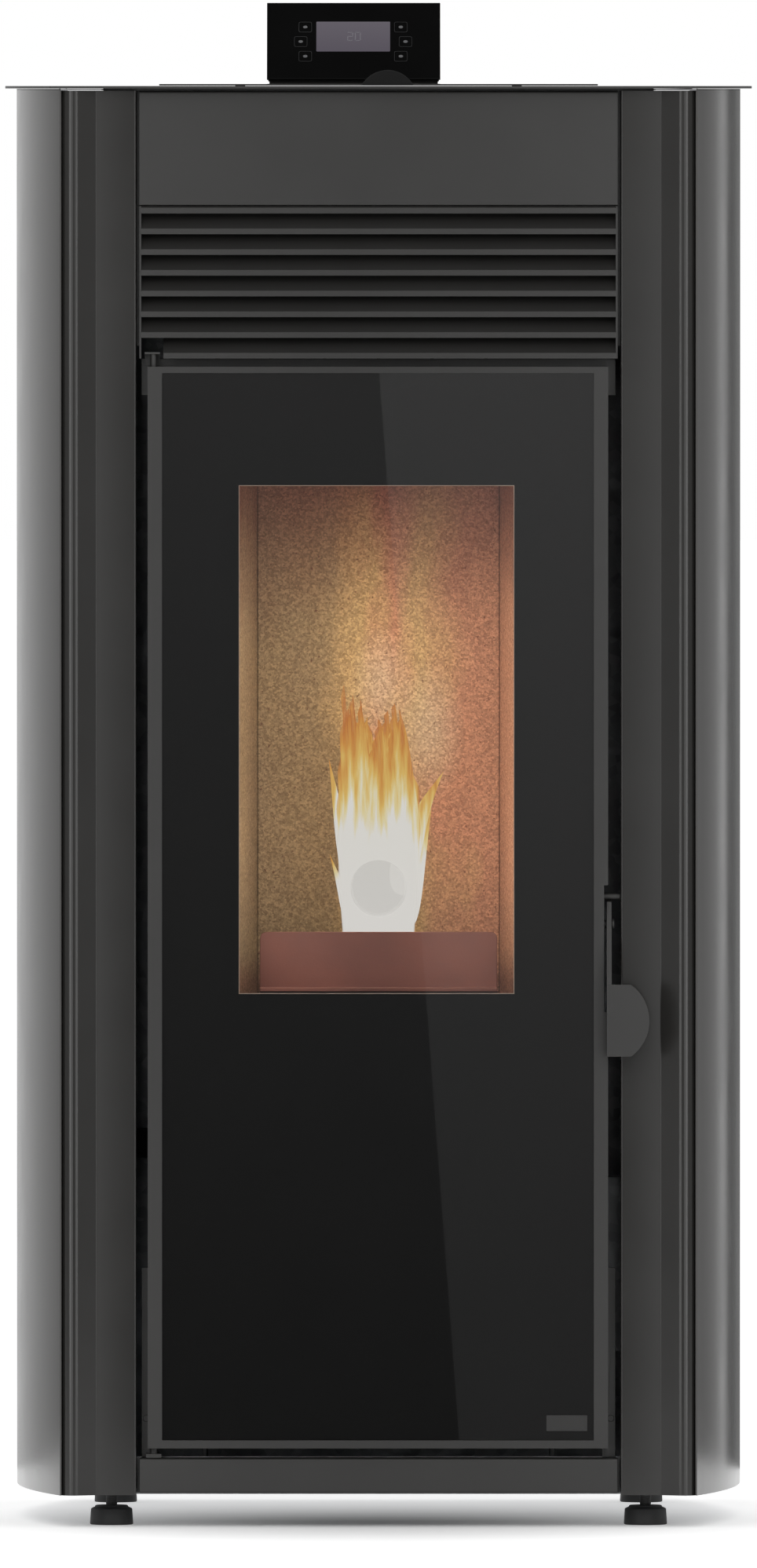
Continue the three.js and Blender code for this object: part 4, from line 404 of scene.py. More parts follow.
@dataclass(frozen=True)
class Flame(Finish):
    """Fire: white at the root, then yellow and orange, torn into upright streaks and clear at the tips."""

    glow: float = 0.78
    mouth: tuple[float, float, float] = (0.0, 0.0, 0.506)
    mouth_radius: float = 0.0222

    def mixed(self) -> bpy.types.Material:
        """The piece's own attributes give the heat along a tongue and how near its rim a point is.

        Round the chute's mouth the fire is thinner, so that the mouth is seen through it.
        """
        shader = Shader(self.name)
        height, rim = shader.attribute("flame_height"), shader.attribute("flame_rim")
        streaks = shader.noise(190.0, 3.0, shader.stretched((1.0, 0.6, 0.10)))
        tear = shader.span(streaks, 0.3, 0.7, -0.17, 0.17)
        torn = shader.maths("MULTIPLY", tear, shader.span(height, 0.25, 0.6, 0.0, 1.0))
        heat = shader.maths("ADD", shader.maths("ADD", height, torn), shader.span(rim, 0.90, 1.0, 0.0, 0.12))
        hue = shader.ramp(heat, [
            (0.0, (0.90, 0.88, 0.85)),
            (1.0, (0.60, 0.19, 0.05)),
            (0.48, (0.89, 0.87, 0.82)),
            (0.58, (0.88, 0.76, 0.42)),
            (0.69, (0.84, 0.56, 0.16)),
            (0.86, (0.72, 0.33, 0.075)),
        ])
        clear = shader.span(heat, 0.82, 1.12, 1.0, 0.0)
        reach = shader.distance(self.mouth, (1.0, 0.0, 1.0))
        mouth = shader.span(reach, self.mouth_radius, self.mouth_radius + 0.0006, 0.40, 1.0)
        edge = shader.span(rim, 0.95, 1.0, 1.0, 0.4)
        alpha = shader.maths("MULTIPLY", shader.maths("MULTIPLY", clear, edge), mouth)
        shader.join(alpha, shader.surface.inputs["Alpha"])
        shader.shine(hue, self.glow, 1.0)
        return shader.material


@dataclass(frozen=True)
class Glow(Finish):
    """A lit surface: display segments, embers or a studio card, brighter towards one end."""

    strength: float = 1.0
    axis: int = 2
    low: float = 0.0
    high: float = 1.0
    bend: float = 1.0

    def mixed(self) -> bpy.types.Material:
        """Emission from one colour to the other along an axis, t to the power of bend, with a slight unevenness."""
        shader = Shader(self.name)
        along = shader.maths("POWER", shader.span(shader.axis(self.axis), self.low, self.high, 0.0, 1.0), self.bend)
        uneven = shader.span(shader.noise(self.cloud_scale, 2.0), 0.0, 1.0, -0.05, 0.05)
        tone = shader.mix(shader.maths("ADD", along, uneven), self.base, self.cloud)
        shader.shine(tone, self.strength, 0.9)
        return shader.material


CASING = Finish("anthracite_paint", "casing_paint", (0.0172, 0.0166, 0.0158), (0.0184, 0.0178, 0.0169),
                rough=0.38, rough_spread=0.015)
COLUMN = Finish("anthracite_column_paint", "casing_paint", (0.0175, 0.0168, 0.0157), (0.0186, 0.0179, 0.0167),
                rough=0.20, rough_spread=0.012)
CASING_DARK = Finish("anthracite_paint_deep", "casing_paint", (0.006, 0.006, 0.006), (0.008, 0.008, 0.007), rough=0.5,
                     specular=0.2)
SIDE = Finish("grey_side_paint", "side_paint", (0.030, 0.028, 0.026), (0.033, 0.031, 0.029), rough=0.15,
              rough_spread=0.02, grain_depth=0.000004)
BLACK = Finish("black_heat_paint", "black_steel", (0.012, 0.012, 0.012), (0.018, 0.017, 0.016), rough=0.6)
LUG = Finish("dark_lug_paint", "black_steel", (0.018, 0.018, 0.017), (0.022, 0.021, 0.020), rough=0.5)
ZINC = Galvanised("galvanised_sheet", "inner_steel", (0.30, 0.31, 0.32), (0.46, 0.47, 0.48), rough=0.36, metallic=0.85)
STEEL = Finish("turned_steel", "inner_steel", (0.42, 0.42, 0.43), (0.52, 0.52, 0.53), rough=0.28, metallic=1.0,
               stretch=(1.0, 0.05, 1.0), grain_scale=2600.0)
IRON = Finish("cast_iron", "cast_iron", (0.035, 0.028, 0.025), (0.07, 0.045, 0.035), rough=0.7, grain_scale=520.0,
              grain_depth=0.00025, cloud_scale=30.0, metallic=0.3)
GUARD = Finish("heated_guard_iron", "cast_iron", (0.16, 0.060, 0.045), (0.20, 0.078, 0.058), rough=0.7,
               grain_scale=700.0, grain_depth=0.00008, cloud_scale=22.0)
BOARD = Vermiculite("vermiculite_board", "vermiculite", (0.200, 0.142, 0.090), (0.225, 0.158, 0.090), rough=0.95,
                    specular=0.1, grain_scale=900.0, grain_depth=0.0002, cloud_scale=16.0,
                    middle=(0.38, 0.255, 0.125), right=(0.37, 0.185, 0.118), top=(0.115, 0.036, 0.032))
ROPE = Rope("glass_rope", "rope_seal", (0.30, 0.28, 0.25), (0.66, 0.63, 0.57), rough=0.95, grain_depth=0.0008)
GLASS = Pane("clear_stove_glass", "stove_glass", (0.985, 0.98, 0.97), (0.9, 0.9, 0.9), rough=0.012)
PRINT = Finish("black_glass_print", "stove_glass", (0.0018, 0.0018, 0.0018), (0.0026, 0.0026, 0.0026), rough=0.5,
               specular=0.05)
RIM = Finish("window_edge_print", "stove_glass", (0.34, 0.25, 0.19), (0.42, 0.31, 0.24), rough=0.5)
PANEL_GLASS = Finish("black_panel_glass", "panel_glass", (0.0028, 0.0028, 0.0028), (0.0036, 0.0036, 0.0036), rough=0.06,
                     rough_spread=0.02, grain_depth=0.0)
PANEL_PRINT = Finish("panel_print", "panel_glass", (0.11, 0.11, 0.115), (0.13, 0.13, 0.135), rough=0.4)
PANEL_LINE = Finish("panel_fine_print", "panel_glass", (0.026, 0.026, 0.027), (0.032, 0.032, 0.033), rough=0.4)
SCREEN = Glow("display_screen", "panel_glass", (0.118, 0.105, 0.13), (0.155, 0.14, 0.165), strength=0.8,
              low=1.173, high=1.2)
SEGMENT = Finish("display_segments", "panel_glass", (0.15, 0.14, 0.165), (0.17, 0.16, 0.185), rough=0.5)
ALLOY = Finish("cast_alloy", "motor_case", (0.26, 0.26, 0.27), (0.36, 0.36, 0.37), rough=0.45, metallic=0.9,
               grain_scale=900.0, grain_depth=0.00006)
RUBBER = Finish("moulded_rubber", "foot_rubber", (0.010, 0.010, 0.010), (0.016, 0.016, 0.016), rough=0.55,
                grain_depth=0.00004)
PLASTIC = Finish("grained_plastic", "black_plastic", (0.012, 0.012, 0.012), (0.017, 0.017, 0.017), rough=0.5,
                 grain_scale=1200.0, grain_depth=0.00005)
FIRE = Flame("flame", "vermiculite", (1.0, 0.6, 0.2), (1.0, 0.9, 0.6))
EMBER = Glow("embers", "cast_iron", (1.0, 0.25, 0.04), (1.0, 0.55, 0.18), strength=1.6, low=0.42,
             high=0.47)


# ---------------------------------------------------------------------------------------------------
# Surfaces
# ---------------------------------------------------------------------------------------------------


@dataclass
class Surface:
    """Vertices and faces of one or more closed shells."""

    points: np.ndarray
    faces: list[list[int]]


def merged(parts: Sequence[Surface]) -> Surface:
    """Several surfaces as one."""
    starts = np.cumsum([0] + [len(part.points) for part in parts])
    faces = [[index + start for index in face] for part, start in zip(parts, starts.tolist()) for face in part.faces]
    return Surface(np.concatenate([part.points for part in parts]), faces)


def grid_faces(rows: int, columns: int, wrapped: bool) -> list[list[int]]:
    """Quads of a grid whose vertices are stored row by row.

    Args:
        rows: Rows of vertices.
        columns: Vertices in a row.
        wrapped: Whether the last column meets the first.

    Returns:
        The quads.
    """
    row, column = np.meshgrid(np.arange(rows - 1), np.arange(columns if wrapped else columns - 1), indexing="ij")
    corner, after = row * columns + column, row * columns + (column + 1) % columns
    return np.stack([corner, after, after + columns, corner + columns], -1).reshape(-1, 4).tolist()


def prism(outline: np.ndarray, low: float, high: float, plane: Plane) -> Surface:
    """A closed outline carried straight from low to high: P(i, t) = (outline_i, low + t (high - low))."""
    count = len(outline)
    points = np.empty((2 * count, 3))
    first, second, along = plane.value
    points[:, first] = np.tile(outline[:, 0], 2)
    points[:, second] = np.tile(outline[:, 1], 2)
    points[:, along] = np.repeat([low, high], count)
    ends = [list(range(count)), list(range(2 * count - 1, count - 1, -1))]
    return Surface(points, grid_faces(2, count, True) + ends)


def block(x: Sequence[float], y: Sequence[float], z: Sequence[float]) -> Surface:
    """A rectangular lump between two values on each axis."""
    return prism(rectangle(x, y), z[0], z[1], Plane.PLAN)


def mirrored(near: float, far: float, y: Sequence[float], z: Sequence[float]) -> list[Surface]:
    """Two blocks, one on each side of the middle, from near to far of it."""
    return [block(sorted((side * near, side * far)), y, z) for side in (-1.0, 1.0)]


def turned(profile: np.ndarray, centre: Sequence[float], axis: int, sides: int = 48) -> Surface:
    """A closed profile (radius, height) turned about an axis: P = c + r cos(a) u + r sin(a) v + h w."""
    angle = np.linspace(0.0, 2.0 * math.pi, sides, endpoint=False)
    radius, height = profile[:, 0][:, None], profile[:, 1][:, None]
    parts = [radius * np.cos(angle), radius * np.sin(angle), height + 0.0 * angle]
    stacked = np.empty((len(profile), sides, 3))
    axes = [(axis + 1) % 3, (axis + 2) % 3, axis]
    for part, target in zip(parts, axes):
        stacked[:, :, target] = part
    points = stacked.reshape(-1, 3) + np.asarray(centre)
    return Surface(points, grid_faces(len(profile), sides, True))


def rounded(corners: np.ndarray, radius: float, steps: int = 6, closed: bool = False) -> np.ndarray:
    """A path with round corners: each corner P gives the curve (1-t)^2 A + 2t(1-t) P + t^2 B between its sides."""
    corners = np.asarray(corners, float)
    before = np.roll(corners, 1, 0) - corners
    after = np.roll(corners, -1, 0) - corners
    before /= np.linalg.norm(before, axis=1, keepdims=True)
    after /= np.linalg.norm(after, axis=1, keepdims=True)
    bend = np.clip((before * after).sum(1), -0.999, 0.999)
    reach = np.where(bend < -0.998, 0.0, radius / np.tan(np.arccos(bend) / 2.0))[:, None]
    start, end = corners + before * reach, corners + after * reach
    t = np.linspace(0.0, 1.0, steps + 1)[None, :, None]
    curves = (1 - t) ** 2 * start[:, None] + 2 * t * (1 - t) * corners[:, None] + t**2 * end[:, None]
    if closed:
        return curves.reshape(-1, 2)
    return np.vstack([corners[:1], curves[1:-1].reshape(-1, 2), corners[-1:]])


def folded(path: np.ndarray, thickness: float) -> np.ndarray:
    """The outline of a sheet laid to the left of a path: each point moves along the mitre of its two sides."""
    step = np.diff(path, axis=0)
    step = step[np.linalg.norm(step, axis=1) > 1e-9]
    keep = np.concatenate([[True], np.linalg.norm(np.diff(path, axis=0), axis=1) > 1e-9])
    path = path[keep]
    step /= np.linalg.norm(step, axis=1, keepdims=True)
    normal = np.stack([-step[:, 1], step[:, 0]], 1)
    first, second = np.vstack([normal[:1], normal]), np.vstack([normal, normal[-1:]])
    mitre = (first + second) / (1.0 + (first * second).sum(1, keepdims=True))
    return np.vstack([path, (path + mitre * thickness)[::-1]])


def arc(centre: Sequence[float], radius: float, start: float, end: float, steps: int) -> np.ndarray:
    """Points on a circle, angles in degrees: c + r (cos a, sin a)."""
    angle = np.radians(np.linspace(start, end, steps + 1))
    return np.asarray(centre) + radius * np.stack([np.cos(angle), np.sin(angle)], 1)


def rectangle(x: Sequence[float], z: Sequence[float]) -> np.ndarray:
    """Corners of a rectangle."""
    return np.array([(x[0], z[0]), (x[1], z[0]), (x[1], z[1]), (x[0], z[1])], float)


def soft_rectangle(x: Sequence[float], z: Sequence[float], radius: float, steps: int = 5) -> np.ndarray:
    """A rectangle with round corners."""
    return rounded(rectangle(x, z), radius, steps, closed=True)


def framed(outer: np.ndarray, inner: np.ndarray, low: float, high: float, plane: Plane) -> Surface:
    """A plate between two matching loops, an outer and an inner one, from low to high."""
    count = len(outer)
    first, second, along = plane.value
    loops = [(outer, low), (outer, high), (inner, high), (inner, low), (outer, low)]
    points = np.empty((len(loops) * count, 3))
    for index, (loop, level) in enumerate(loops):
        part = slice(index * count, (index + 1) * count)
        points[part, first], points[part, second], points[part, along] = loop[:, 0], loop[:, 1], level
    return Surface(points, grid_faces(len(loops), count, True))


@dataclass(frozen=True)
class Edge:
    """How the edges of a piece are broken."""

    width: float = 0.0004
    segments: int = 2
    angle: float = 35.0


def tidy(mesh: bpy.types.Mesh, made: bool) -> None:
    """Merges doubles; turns a made mesh's faces outwards, and melts a packed one's flat triangles together."""
    work = bmesh.new()
    work.from_mesh(mesh)
    bmesh.ops.remove_doubles(work, verts=work.verts, dist=MERGE_DISTANCE)
    if made:
        bmesh.ops.recalc_face_normals(work, faces=work.faces)
    else:
        bmesh.ops.dissolve_limit(work, angle_limit=FLAT_ANGLE, verts=work.verts, edges=work.edges)
    work.to_mesh(mesh)
    work.free()


def placed(name: str, data: bpy.types.ID) -> bpy.types.Object:
    """A new object in the scene, at the origin."""
    item = bpy.data.objects.new(name, data)
    bpy.context.scene.collection.objects.link(item)
    return item


def dress(piece: bpy.types.Object, finish: Finish, body: Body | str, edge: Edge | None,
          replaced: Iterable[str] = ()) -> None:
    """Gives a piece its finish, smooth shading, broken edges and the body that it rides on.

    Args:
        piece: The piece, its mesh in place.
        finish: Its finish.
        body: The moving body that carries it.
        edge: How its edges are broken, or None to leave them.
        replaced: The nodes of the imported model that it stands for.
    """
    mesh = piece.data
    mesh.materials.clear()
    mesh.materials.append(finish.material())
    mesh.polygons.foreach_set("use_smooth", np.ones(len(mesh.polygons), bool))
    mesh.set_sharp_from_angle(angle=SMOOTH_ANGLE)
    if edge is not None:
        bevel = piece.modifiers.new("broken_edges", "BEVEL")
        bevel.width, bevel.segments, bevel.limit_method = edge.width, edge.segments, "ANGLE"
        bevel.angle_limit, bevel.harden_normals = math.radians(edge.angle), True
    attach(piece, body.value if isinstance(body, Body) else body)
    for node in replaced:
        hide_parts(node)
    log.info("%-28s %-16s %6d faces, %s", piece.name, piece["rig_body"], len(mesh.polygons), finish.name)


def make(name: str, surface: Surface, finish: Finish, body: Body | str, replaced: Iterable[str] = (),
         edge: Edge | None = None, fields: Iterable[tuple[str, np.ndarray]] = ()) -> bpy.types.Object:
    """Puts a surface into a new piece and dresses it.

    Args:
        name: The piece's name.
        surface: Its closed shells.
        finish: Its finish.
        body: The body that carries it.
        replaced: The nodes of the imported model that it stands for.
        edge: How its edges are broken.
        fields: Attributes of its points, each with its name.

    Returns:
        The new piece.
    """
    mesh = bpy.data.meshes.new(name)
    mesh.from_pydata(surface.points.tolist(), [], surface.faces)
    for title, values in fields:
        mesh.attributes.new(title, "FLOAT", "POINT").data.foreach_set("value", values.astype(np.float32))
    tidy(mesh, made=True)
    piece = placed(name, mesh)
    dress(piece, finish, body, edge, replaced)
    return piece


def rounded_nodes(frame: dict, finish: Finish, edge: Edge, *nodes: str) -> None:
    """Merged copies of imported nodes, with smooth curves and broken edges, that stand for them.

    Args:
        finish: Their finish.
        edge: How their edges are broken.
        nodes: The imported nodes.
    """
    for node in nodes:
        source = frame["nodes"][node]
        mesh = source.data.copy()
        piece = placed(f"{node}_rounded", mesh)
        tidy(mesh, made=False)
        dress(piece, finish, source["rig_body"], edge, [node])


def plain_node(frame: dict, node: str, finish: Finish) -> None:
    """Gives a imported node, whose shape is right as it is, its finish."""
    mesh = frame["nodes"][node].data
    mesh.materials.clear()
    mesh.materials.append(finish.material())
    log.info("%-28s kept, %s", node, finish.name)


# ---------------------------------------------------------------------------------------------------
# The stove's sub-assemblies
# ---------------------------------------------------------------------------------------------------


FRONT = -0.286  # the front face of the casing
FRONT_HALF = 0.1903  # half the width of the front panels
LUG_END = 0.1925  # how far their lugs reach
LUG_DEPTH = (FRONT + 0.0135, FRONT + 0.015)


@dataclass
class Casing:
    """The sheet-metal body: bowed sides, folded columns, top plate, front panels and rear panel."""

    frame: dict
    bottom: float = 0.0256
    column_top: float = 1.144
    side_top: float = 1.1455
    plate_under: float = 1.1458
    rear: float = 0.27
    side_sheet: float = 0.0012
    side_chord: float = 0.2535
    flange_inner: float = 0.219
    flange_reach: float = 0.008
    front_sheet: float = 0.0015

    def build(self) -> None:
        """Builds and dresses every piece of the casing."""
        for side, word in ((-1.0, "left"), (1.0, "right")):
            self.side_panel(side, word)
            self.column(side, word)
        rounded_nodes(self.frame, CASING, Edge(0.00012, 1), "top_plate")
        self.top_strips()
        rounded_nodes(self.frame, ZINC, Edge(0.0003), "base_tray", "rear_panel")
        self.front_panel()
        self.base_rail()
        self.rear_screws()

    def side_panel(self, side: float, word: str) -> None:
        """One bowed side: in plan the arc c + R (cos a, sin a), a sheet thick, with its top flange."""
        low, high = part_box(f"{word}_side_panel")
        middle, half = (low.y + high.y) / 2.0, (high.y - low.y) / 2.0
        widest = max(abs(low.x), abs(high.x))
        bulge = widest - self.side_chord
        radius = (half**2 + bulge**2) / (2.0 * bulge)
        centre = widest - radius
        reach = math.degrees(math.asin(half / radius))
        inner_reach = math.degrees(math.asin(half / (radius - self.side_sheet)))
        outer = arc((centre, middle), radius, -reach, reach, 72)
        inner = arc((centre, middle), radius - self.side_sheet, inner_reach, -inner_reach, 72)
        turn = np.array([side, 1.0])
        wall = prism(np.vstack([outer, inner]) * turn, self.bottom, self.side_top, Plane.PLAN)
        ahead = FRONT - self.flange_reach
        lip = np.array([
            (self.flange_inner, self.rear),
            (self.flange_inner, ahead + 0.001),
            (self.flange_inner + 0.001, ahead),
            (outer[0, 0] - self.side_sheet, ahead),
        ])
        flange = prism(np.vstack([outer, lip]) * turn, self.side_top - self.side_sheet, self.side_top, Plane.PLAN)
        make(f"{word}_side_sheet", merged([wall, flange]), SIDE, Body.CASING, [f"{word}_side_panel"], Edge(0.0003))

    def column(self, side: float, word: str) -> None:
        """One folded column: return, flat face, slanting facet, round bead and flank, as one bent sheet."""
        low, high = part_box(f"{word}_column")
        inner, outer = min(abs(low.x), abs(high.x)), max(abs(low.x), abs(high.x))
        flat, facet, tilt, bead_radius, sheet = 0.0319, 0.0141, math.radians(30.0), 0.0095, 0.002
        facet_x = inner + flat + facet
        facet_y = FRONT - facet * math.tan(tilt)
        bead = (facet_x + bead_radius * math.sin(tilt), facet_y + bead_radius * math.cos(tilt))
        corners = np.array([(inner, high.y), (inner, FRONT), (inner + flat, FRONT), (facet_x, facet_y)])
        face = rounded(corners, 0.0018)
        round_part = arc(bead, bead_radius, -120.0, 0.0, 40)
        path = np.vstack([face[:-1], round_part, [(outer, FRONT + 0.015)]])
        outline = folded(path, sheet) * np.array([side, 1.0])
        make(f"{word}_folded_column", prism(outline, self.bottom, self.column_top, Plane.PLAN), COLUMN, Body.CASING,
             [f"{word}_column"], Edge(0.0004))

    def front_panel(self) -> None:
        """The plain panel under the top plate: a pan with rounded folds on its four sides."""
        low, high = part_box("front_top_panel")
        sheet, fold = self.front_sheet, 0.0002
        bottom, top = low.z + fold, high.z - fold
        face = rounded(np.array([(high.y, bottom), (FRONT, bottom), (FRONT, top), (high.y, top)]), 0.0022, 8)
        pan = prism(folded(face, -sheet), -FRONT_HALF, FRONT_HALF, Plane.SIDE)
        sides = mirrored(FRONT_HALF - sheet, FRONT_HALF, (FRONT + 0.0012, high.y), (low.z + 0.001, high.z - 0.001))
        lugs = mirrored(FRONT_HALF - 0.001, LUG_END, (high.y - sheet, high.y), (low.z, high.z))
        make("front_top_pan", merged([pan, *sides, *lugs]), CASING, Body.CASING, ["front_top_panel"], Edge(0.0004))

    def base_rail(self) -> None:
        """The rail under the door: a channel with rounded folds."""
        low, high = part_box("front_base_rail")
        face = rounded(np.array([(high.y, low.z), (FRONT, low.z), (FRONT, high.z), (high.y, high.z)]), 0.0026, 8)
        channel = prism(folded(face, -self.front_sheet), -FRONT_HALF, FRONT_HALF, Plane.SIDE)
        lugs = mirrored(FRONT_HALF - 0.001, LUG_END, LUG_DEPTH, (low.z, high.z))
        make("base_rail_channel", merged([channel, *lugs]), CASING, Body.CASING, ["front_base_rail"], Edge(0.0004))

    def top_strips(self) -> None:
        """A dark rubber strip in the gap under the top plate, standing in for the shade there, and the bare cut edges
        of the side flanges.
        """
        inner, ahead = self.flange_inner, FRONT - self.flange_reach
        # Painted shadow: a dark strip laid in the gap under the top plate, standing in for the shade there.
        gap_shadow_strip = block((-inner, inner), (FRONT + 0.004, FRONT + 0.010), (self.column_top, self.plate_under))
        make("top_gap_shadow_strip", gap_shadow_strip, RUBBER, Body.CASING)
        level = (self.side_top - self.side_sheet + 0.0001, self.side_top - 0.0001)
        edges = mirrored(inner + 0.0015, self.side_chord - 0.0005, (ahead - 0.0001, ahead + 0.0003), level)
        make("flange_cut_edges", merged(edges), ALLOY, Body.CASING)

    def rear_screws(self) -> None:
        """Domed screws along both edges of the rear panel: a turned dome with a hexagon socket."""
        dome = np.array([(0.0, 0.0004), (0.0015, 0.0004), (0.0016, 0.0016), (0.0026, 0.0014), (0.0036, 0.0009),
                         (0.0040, 0.0002), (0.0040, -0.0001), (0.0, -0.0001)])
        screw_x, lowest, highest, count = 0.243, 0.07, 1.10, 7
        places = [(side * screw_x, z) for side in (-1.0, 1.0) for z in np.linspace(lowest, highest, count)]
        heads = [turned(dome, (x, self.rear, z), 1, 20) for x, z in places]
        make("rear_panel_screws", merged(heads), STEEL, Body.CASING)


@dataclass
class Grille:
    """The warm-air grille: eight folded louvres between two cheeks."""

    count: int = 8
    pitch: float = 0.0165
    lip: float = 0.0044
    first_left: float = -0.1712
    run: float = 0.014
    rise: float = 0.012
    sheet: float = 0.0012
    top_limit: float = 1.0522

    def build(self) -> None:
        """Builds the grille as one piece."""
        low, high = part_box("front_grille")
        parts = []
        for index in range(self.count):
            level = low.z + index * self.pitch
            top = min(level + self.lip + self.rise, self.top_limit)
            run = self.run * (top - level - self.lip) / self.rise
            path = rounded(np.array([(FRONT + run, top), (FRONT, level + self.lip), (FRONT, level)]), 0.0007, 5)
            right = FRONT_HALF - 0.001
            left = self.first_left if index == 0 else -right
            parts.append(prism(folded(path, self.sheet), left, right, Plane.SIDE))
        cheeks = mirrored(FRONT_HALF - 0.0015, FRONT_HALF, (FRONT + 0.0006, high.y), (low.z, high.z))
        lugs = mirrored(FRONT_HALF - 0.001, LUG_END, LUG_DEPTH, (low.z + 0.010, high.z))
        make("grille_louvres", merged(parts + cheeks + lugs), CASING, Body.CASING, ["front_grille"], Edge(0.00025))


@dataclass
class Door:
    """The glazed door: frame, clear glass with a black print, retainer, seal and hinges."""

    frame: dict
    window: tuple[float, float, float, float] = (-0.11125, 0.1081, 0.425, 0.830)
    print_thickness: float = 0.0001
    badge: tuple[float, float, float, float] = (0.1337, 0.1662, 0.0769, 0.0894)

    def build(self) -> None:
        """Builds and dresses the door."""
        rounded_nodes(self.frame, CASING, Edge(0.0011, 4), "door_frame")
        plain_node(self.frame, "glass_retainer", BLACK)
        self.glass()
        self.seal()
        self.badge_plate()
        rounded_nodes(self.frame, LUG, Edge(0.0003), "upper_hinge", "lower_hinge", "latch_pivot", "upper_door_surround",
                      "left_lower_surround", "right_lower_surround")
        rounded_nodes(self.frame, LUG, Edge(0.0004), "latch_striker")
        rounded_nodes(self.frame, CASING, Edge(0.0005, 3), "latch_lever")

    def glass(self) -> None:
        """The pane, its black print behind it with the window left clear, and the print's lighter edge line."""
        low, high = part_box("door_glass")
        x, z = (low.x, high.x), (low.z, high.z)
        pane_back = high.y - 0.0004
        pane = prism(soft_rectangle(x, z, 0.003, 6), low.y, pane_back, Plane.FRONT)
        make("glass_pane", pane, GLASS, Body.DOOR, ["door_glass"], Edge(0.0005))
        left, right, bottom, top = self.window
        line, margin = 0.0006, 0.999
        inner = rectangle((left, right), (bottom, top))
        edge = rectangle((left + line, right - line), (bottom + line, top - line))
        print_front = pane_back + 0.0001
        depth = (print_front, print_front + self.print_thickness)
        make("glass_print", framed(rectangle(x, z) * margin, inner, *depth, Plane.FRONT), PRINT, Body.DOOR)
        make("window_line", framed(inner, edge, *depth, Plane.FRONT), RIM, Body.DOOR)

    def seal(self) -> None:
        """The rope seal: a round section of radius r carried round a rounded rectangle."""
        low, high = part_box("door_seal")
        depth, width, sides = (high.y - low.y) / 2.0, 0.005, 14
        x, z = (low.x + width, high.x - width), (low.z + width, high.z - width)
        centre = soft_rectangle(x, z, 0.012, 6)
        ahead = np.roll(centre, -1, 0) - np.roll(centre, 1, 0)
        ahead /= np.linalg.norm(ahead, axis=1, keepdims=True)
        normal = np.stack([ahead[:, 1], -ahead[:, 0]], 1)
        angle = np.linspace(0.0, 2.0 * math.pi, sides, endpoint=False)
        points = np.empty((len(centre), sides, 3))
        points[:, :, 0] = centre[:, :1] + normal[:, :1] * width * np.cos(angle)
        points[:, :, 2] = centre[:, 1:] + normal[:, 1:] * width * np.cos(angle)
        points[:, :, 1] = (low.y + high.y) / 2.0 + depth * np.sin(angle)
        points = np.concatenate([points, points[:1]])
        rope = Surface(points.reshape(-1, 3), grid_faces(len(points), sides, True))
        make("seal_rope", rope, ROPE, Body.DOOR, ["door_seal"])

    def badge_plate(self) -> None:
        """A plain dark plate with a slightly raised border, low on the right of the glass."""
        left, right, bottom, top = self.badge
        low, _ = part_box("door_glass")
        x, z, rim = (left, right), (bottom, top), 0.0007
        plate = prism(soft_rectangle(x, z, 0.0008), low.y - 0.0006, low.y, Plane.FRONT)
        inner = rectangle((left + rim, right - rim), (bottom + rim, top - rim))
        border = framed(rectangle(x, z), inner, low.y - 0.0008, low.y - 0.0005, Plane.FRONT)
        make("plain_badge_plate", plate, BLACK, Body.DOOR, edge=Edge(0.0002))
        make("plain_badge_border", border, CASING, Body.DOOR, edge=Edge(0.0001))


@dataclass(frozen=True)
class Tongue:
    """One free tongue of flame, in metres: its root, its tip, its half-width and how it bends."""

    root: tuple[float, float]
    tip: tuple[float, float]
    width: float
    depth_at: float
    curl: float = 1.2
    cool: float = 0.0


@dataclass(frozen=True)
class Curtain:
    """One standing sheet of flame: where it stands in depth, its half-width and its tips (x, z, steepness)."""

    depth_at: float
    half: float
    tips: tuple[tuple[float, float, float], ...]
    thickness: float = 0.006
    low: float = 0.4665
    notch: float = 0.575


